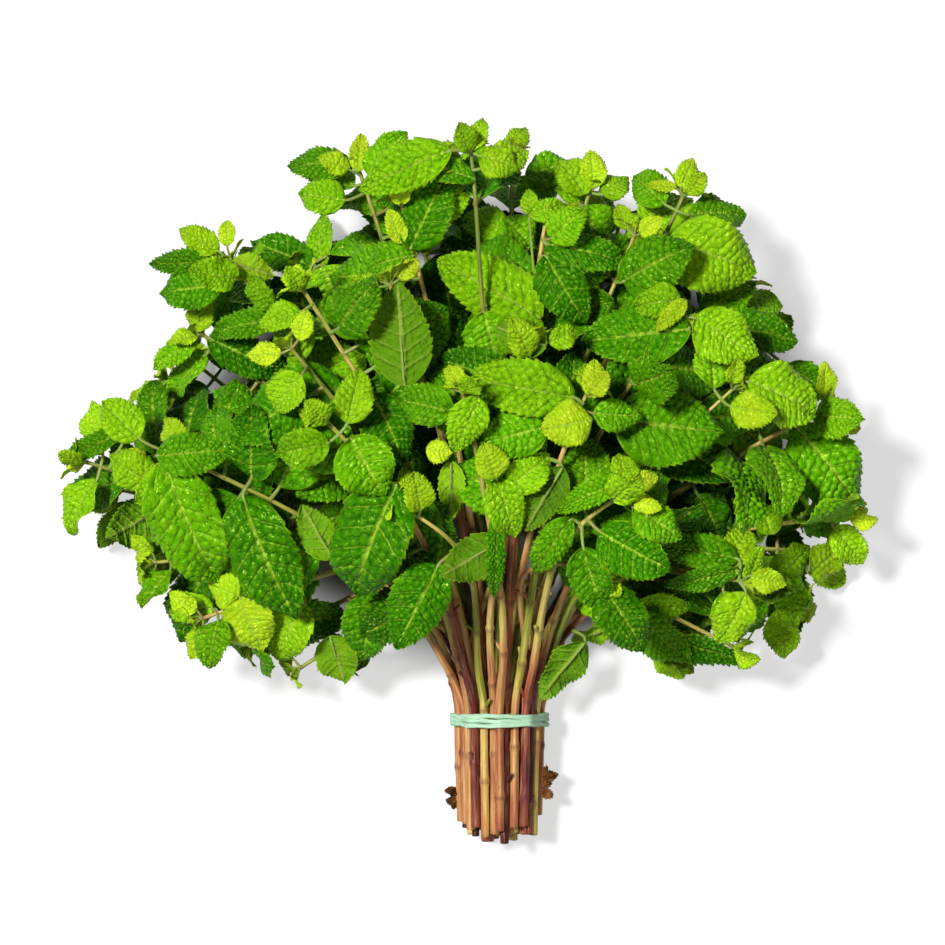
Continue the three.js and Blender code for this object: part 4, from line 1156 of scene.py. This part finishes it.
for number, (name, (leaves, rings)) in enumerate(sorted(reading.items())):
    seed = SEED_STEP * (number + 1)
    random = np.random.default_rng(seed)
    path, guides, radii, run = stem_line(rings)
    tone = float(np.clip(STEM_TONES[number * 5 % len(STEM_TONES)] + random.uniform(-0.06, 0.06), 0, 1))
    leafy = Shell()
    leaf_runs = []
    if name in scraps:
        scrap_random = np.random.default_rng(seed + 61)
        dried_scraps(leafy, path, radii, scraps[name], seed + 60, scrap_random)
    for place, leaf in enumerate(sorted(leaves, key=lambda leaf: tuple(np.round(leaf["tip"], 5)))):
        at = nearest_on_line(path, leaf["base"], leaf["toward"])
        leaf["from"] = path[at]
        leaf["quilting"] = random.uniform(0.8, 1.35)
        leaf_runs.append(run[at])
        kind = leaf_kind(leaf, random)
        stalk = leaf_shell(leafy, leaf, seed + place * 3, kind)
        petiole(leafy, leaf, stalk, seed + place * 3 + 1, kind)
    if leaves:
        way = unit(path[-1] - path[-4])
        tip_bud(leafy, path[-1], way, guides[-1], random.uniform(0.8, 1.15), seed + 70, random)
        piece = leafy.build(name + "_leaves", LEAF_FINISHES)
        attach(piece, "root")
        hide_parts(name)
    bare_from = run[-1] if leaves else band_high[1] + BARE_ABOVE_BAND - low_y
    joints, bare = joint_runs(leaf_runs, min(bare_from, run[-1]), random)
    woody = Shell()
    stem_piece(woody, path, guides, radii, run, joints, bare, tone, random, seed)
    piece = woody.build(name + "_stem" if leaves else name + "_detailed", STEM_FINISHES)
    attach(piece, "root")
    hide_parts(name)

# ---------------------------------------------------------------- the rubber band

outline, centre = read_rim("rubber_band", band_high[1])
turns = Shell()
for strand, share in enumerate((0.18, 0.5, 0.82)):
    height = band_low[1] + share * (band_high[1] - band_low[1])
    band_strand(turns, outline, centre, height, STRAND_HALF_THICKNESS, strand + 1)
piece = turns.build("rubber_band_turns", BAND_FINISHES)
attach(piece, "root")
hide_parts("rubber_band")

# ---------------------------------------------------------------- floor, light and camera


CROWN_MIDDLE = (band_middle[0], band_middle[1] + 0.105, 0.0)
CROWN_REACH = (0.13, 0.095, 1.0)  # half sizes of the ground under the leaves, where the floor has none of its painted glow and stays dark


def floor_piece():
    mesh = bpy.data.meshes.new("floor")
    reach = 3.0
    corners = [(-reach, -reach, 0), (reach, -reach, 0), (reach, reach, 0), (-reach, reach, 0)]
    mesh.from_pydata(corners, [], [(0, 1, 2, 3)])
    material, t, skin = new_material("pale_floor", 0.9, 0.1)
    where = t.put("ShaderNodeTexCoord").outputs["Object"]
    shade = t.span(t.noise(where, 40.0, 4.0), 0.3, 0.7)
    off = t.put("ShaderNodeVectorMath", {0: where, 1: CROWN_MIDDLE}, operation="SUBTRACT").outputs[0]
    off = t.put("ShaderNodeVectorMath", {0: off, 1: CROWN_REACH}, operation="DIVIDE").outputs[0]
    away = t.put("ShaderNodeVectorMath", {0: off}, operation="LENGTH").outputs["Value"]
    t.feed(skin["Base Color"], t.mix(shade, (0.44, 0.44, 0.44, 1), (0.46, 0.46, 0.457, 1)))
    skin["Emission Color"].default_value = (1, 1, 1, 1)
    # Outside the crown the floor glows to the camera: painted light that lifts the shadows cast on it.
    seen = t.put("ShaderNodeLightPath").outputs["Is Camera Ray"]
    painted_floor_glow = t.span(away, 0.72, 1.0, 0.0, 0.6)
    t.feed(skin["Emission Strength"], t.times(seen, painted_floor_glow))
    mesh.materials.append(material)
    floor = bpy.data.objects.new("floor", mesh)
    bpy.context.scene.collection.objects.link(floor)


def sun_light(name, toward, softness, strength):
    """A distant soft light; toward is where it stands as seen from the bunch."""
    light = bpy.data.lights.new(name, "SUN")
    light.angle = math.radians(softness)
    light.energy = strength
    lamp = bpy.data.objects.new(name, light)
    bpy.context.scene.collection.objects.link(lamp)
    level = math.hypot(toward[0], toward[1])
    lamp.rotation_euler = (math.atan2(level, toward[2]), 0, math.atan2(toward[0], -toward[1]))


floor_piece()
sun_light("key", (-0.44, 0.24, 1.0), 10, 3.5)
sun_light("fill", (0.25, -0.7, 1.0), 40, 0.55)

# The studio is white to look at, and lights the bunch more softly than its lamps do.
WORLD_LIGHT = 0.06
world = bpy.data.worlds.new("studio")
world.use_nodes = True
walls = Tree(world.node_tree)
seen = walls.put("ShaderNodeLightPath").outputs["Is Camera Ray"]
world.node_tree.nodes["Background"].inputs["Color"].default_value = (1, 1, 1, 1)
walls.feed(
    world.node_tree.nodes["Background"].inputs["Strength"],
    walls.span(seen, 0.0, 1.0, WORLD_LIGHT, 1.0, soft=False),
)
bpy.context.scene.world = world
bpy.context.scene.view_settings.view_transform = "Standard"

CAMERA_HEIGHT = 2.2
RIM_HEIGHT = 0.045  # of the leaves that mark the crown's outline from above
FRAME_WIDTH = 0.3445  # what the picture spans at that height
SENSOR = 36.0
AIM = (-0.010, 0.0912)  # from the band's middle to the middle of the picture

camera_data = bpy.data.cameras.new("camera")
camera_data.sensor_width = SENSOR
camera_data.lens = SENSOR * (CAMERA_HEIGHT - RIM_HEIGHT) / FRAME_WIDTH
camera_data.clip_end = 20
camera = bpy.data.objects.new("camera", camera_data)
bpy.context.scene.collection.objects.link(camera)
camera.location = (band_middle[0] + AIM[0], band_middle[1] + AIM[1], CAMERA_HEIGHT)
camera.rotation_euler = (0, 0, 0)
bpy.context.scene.camera = camera
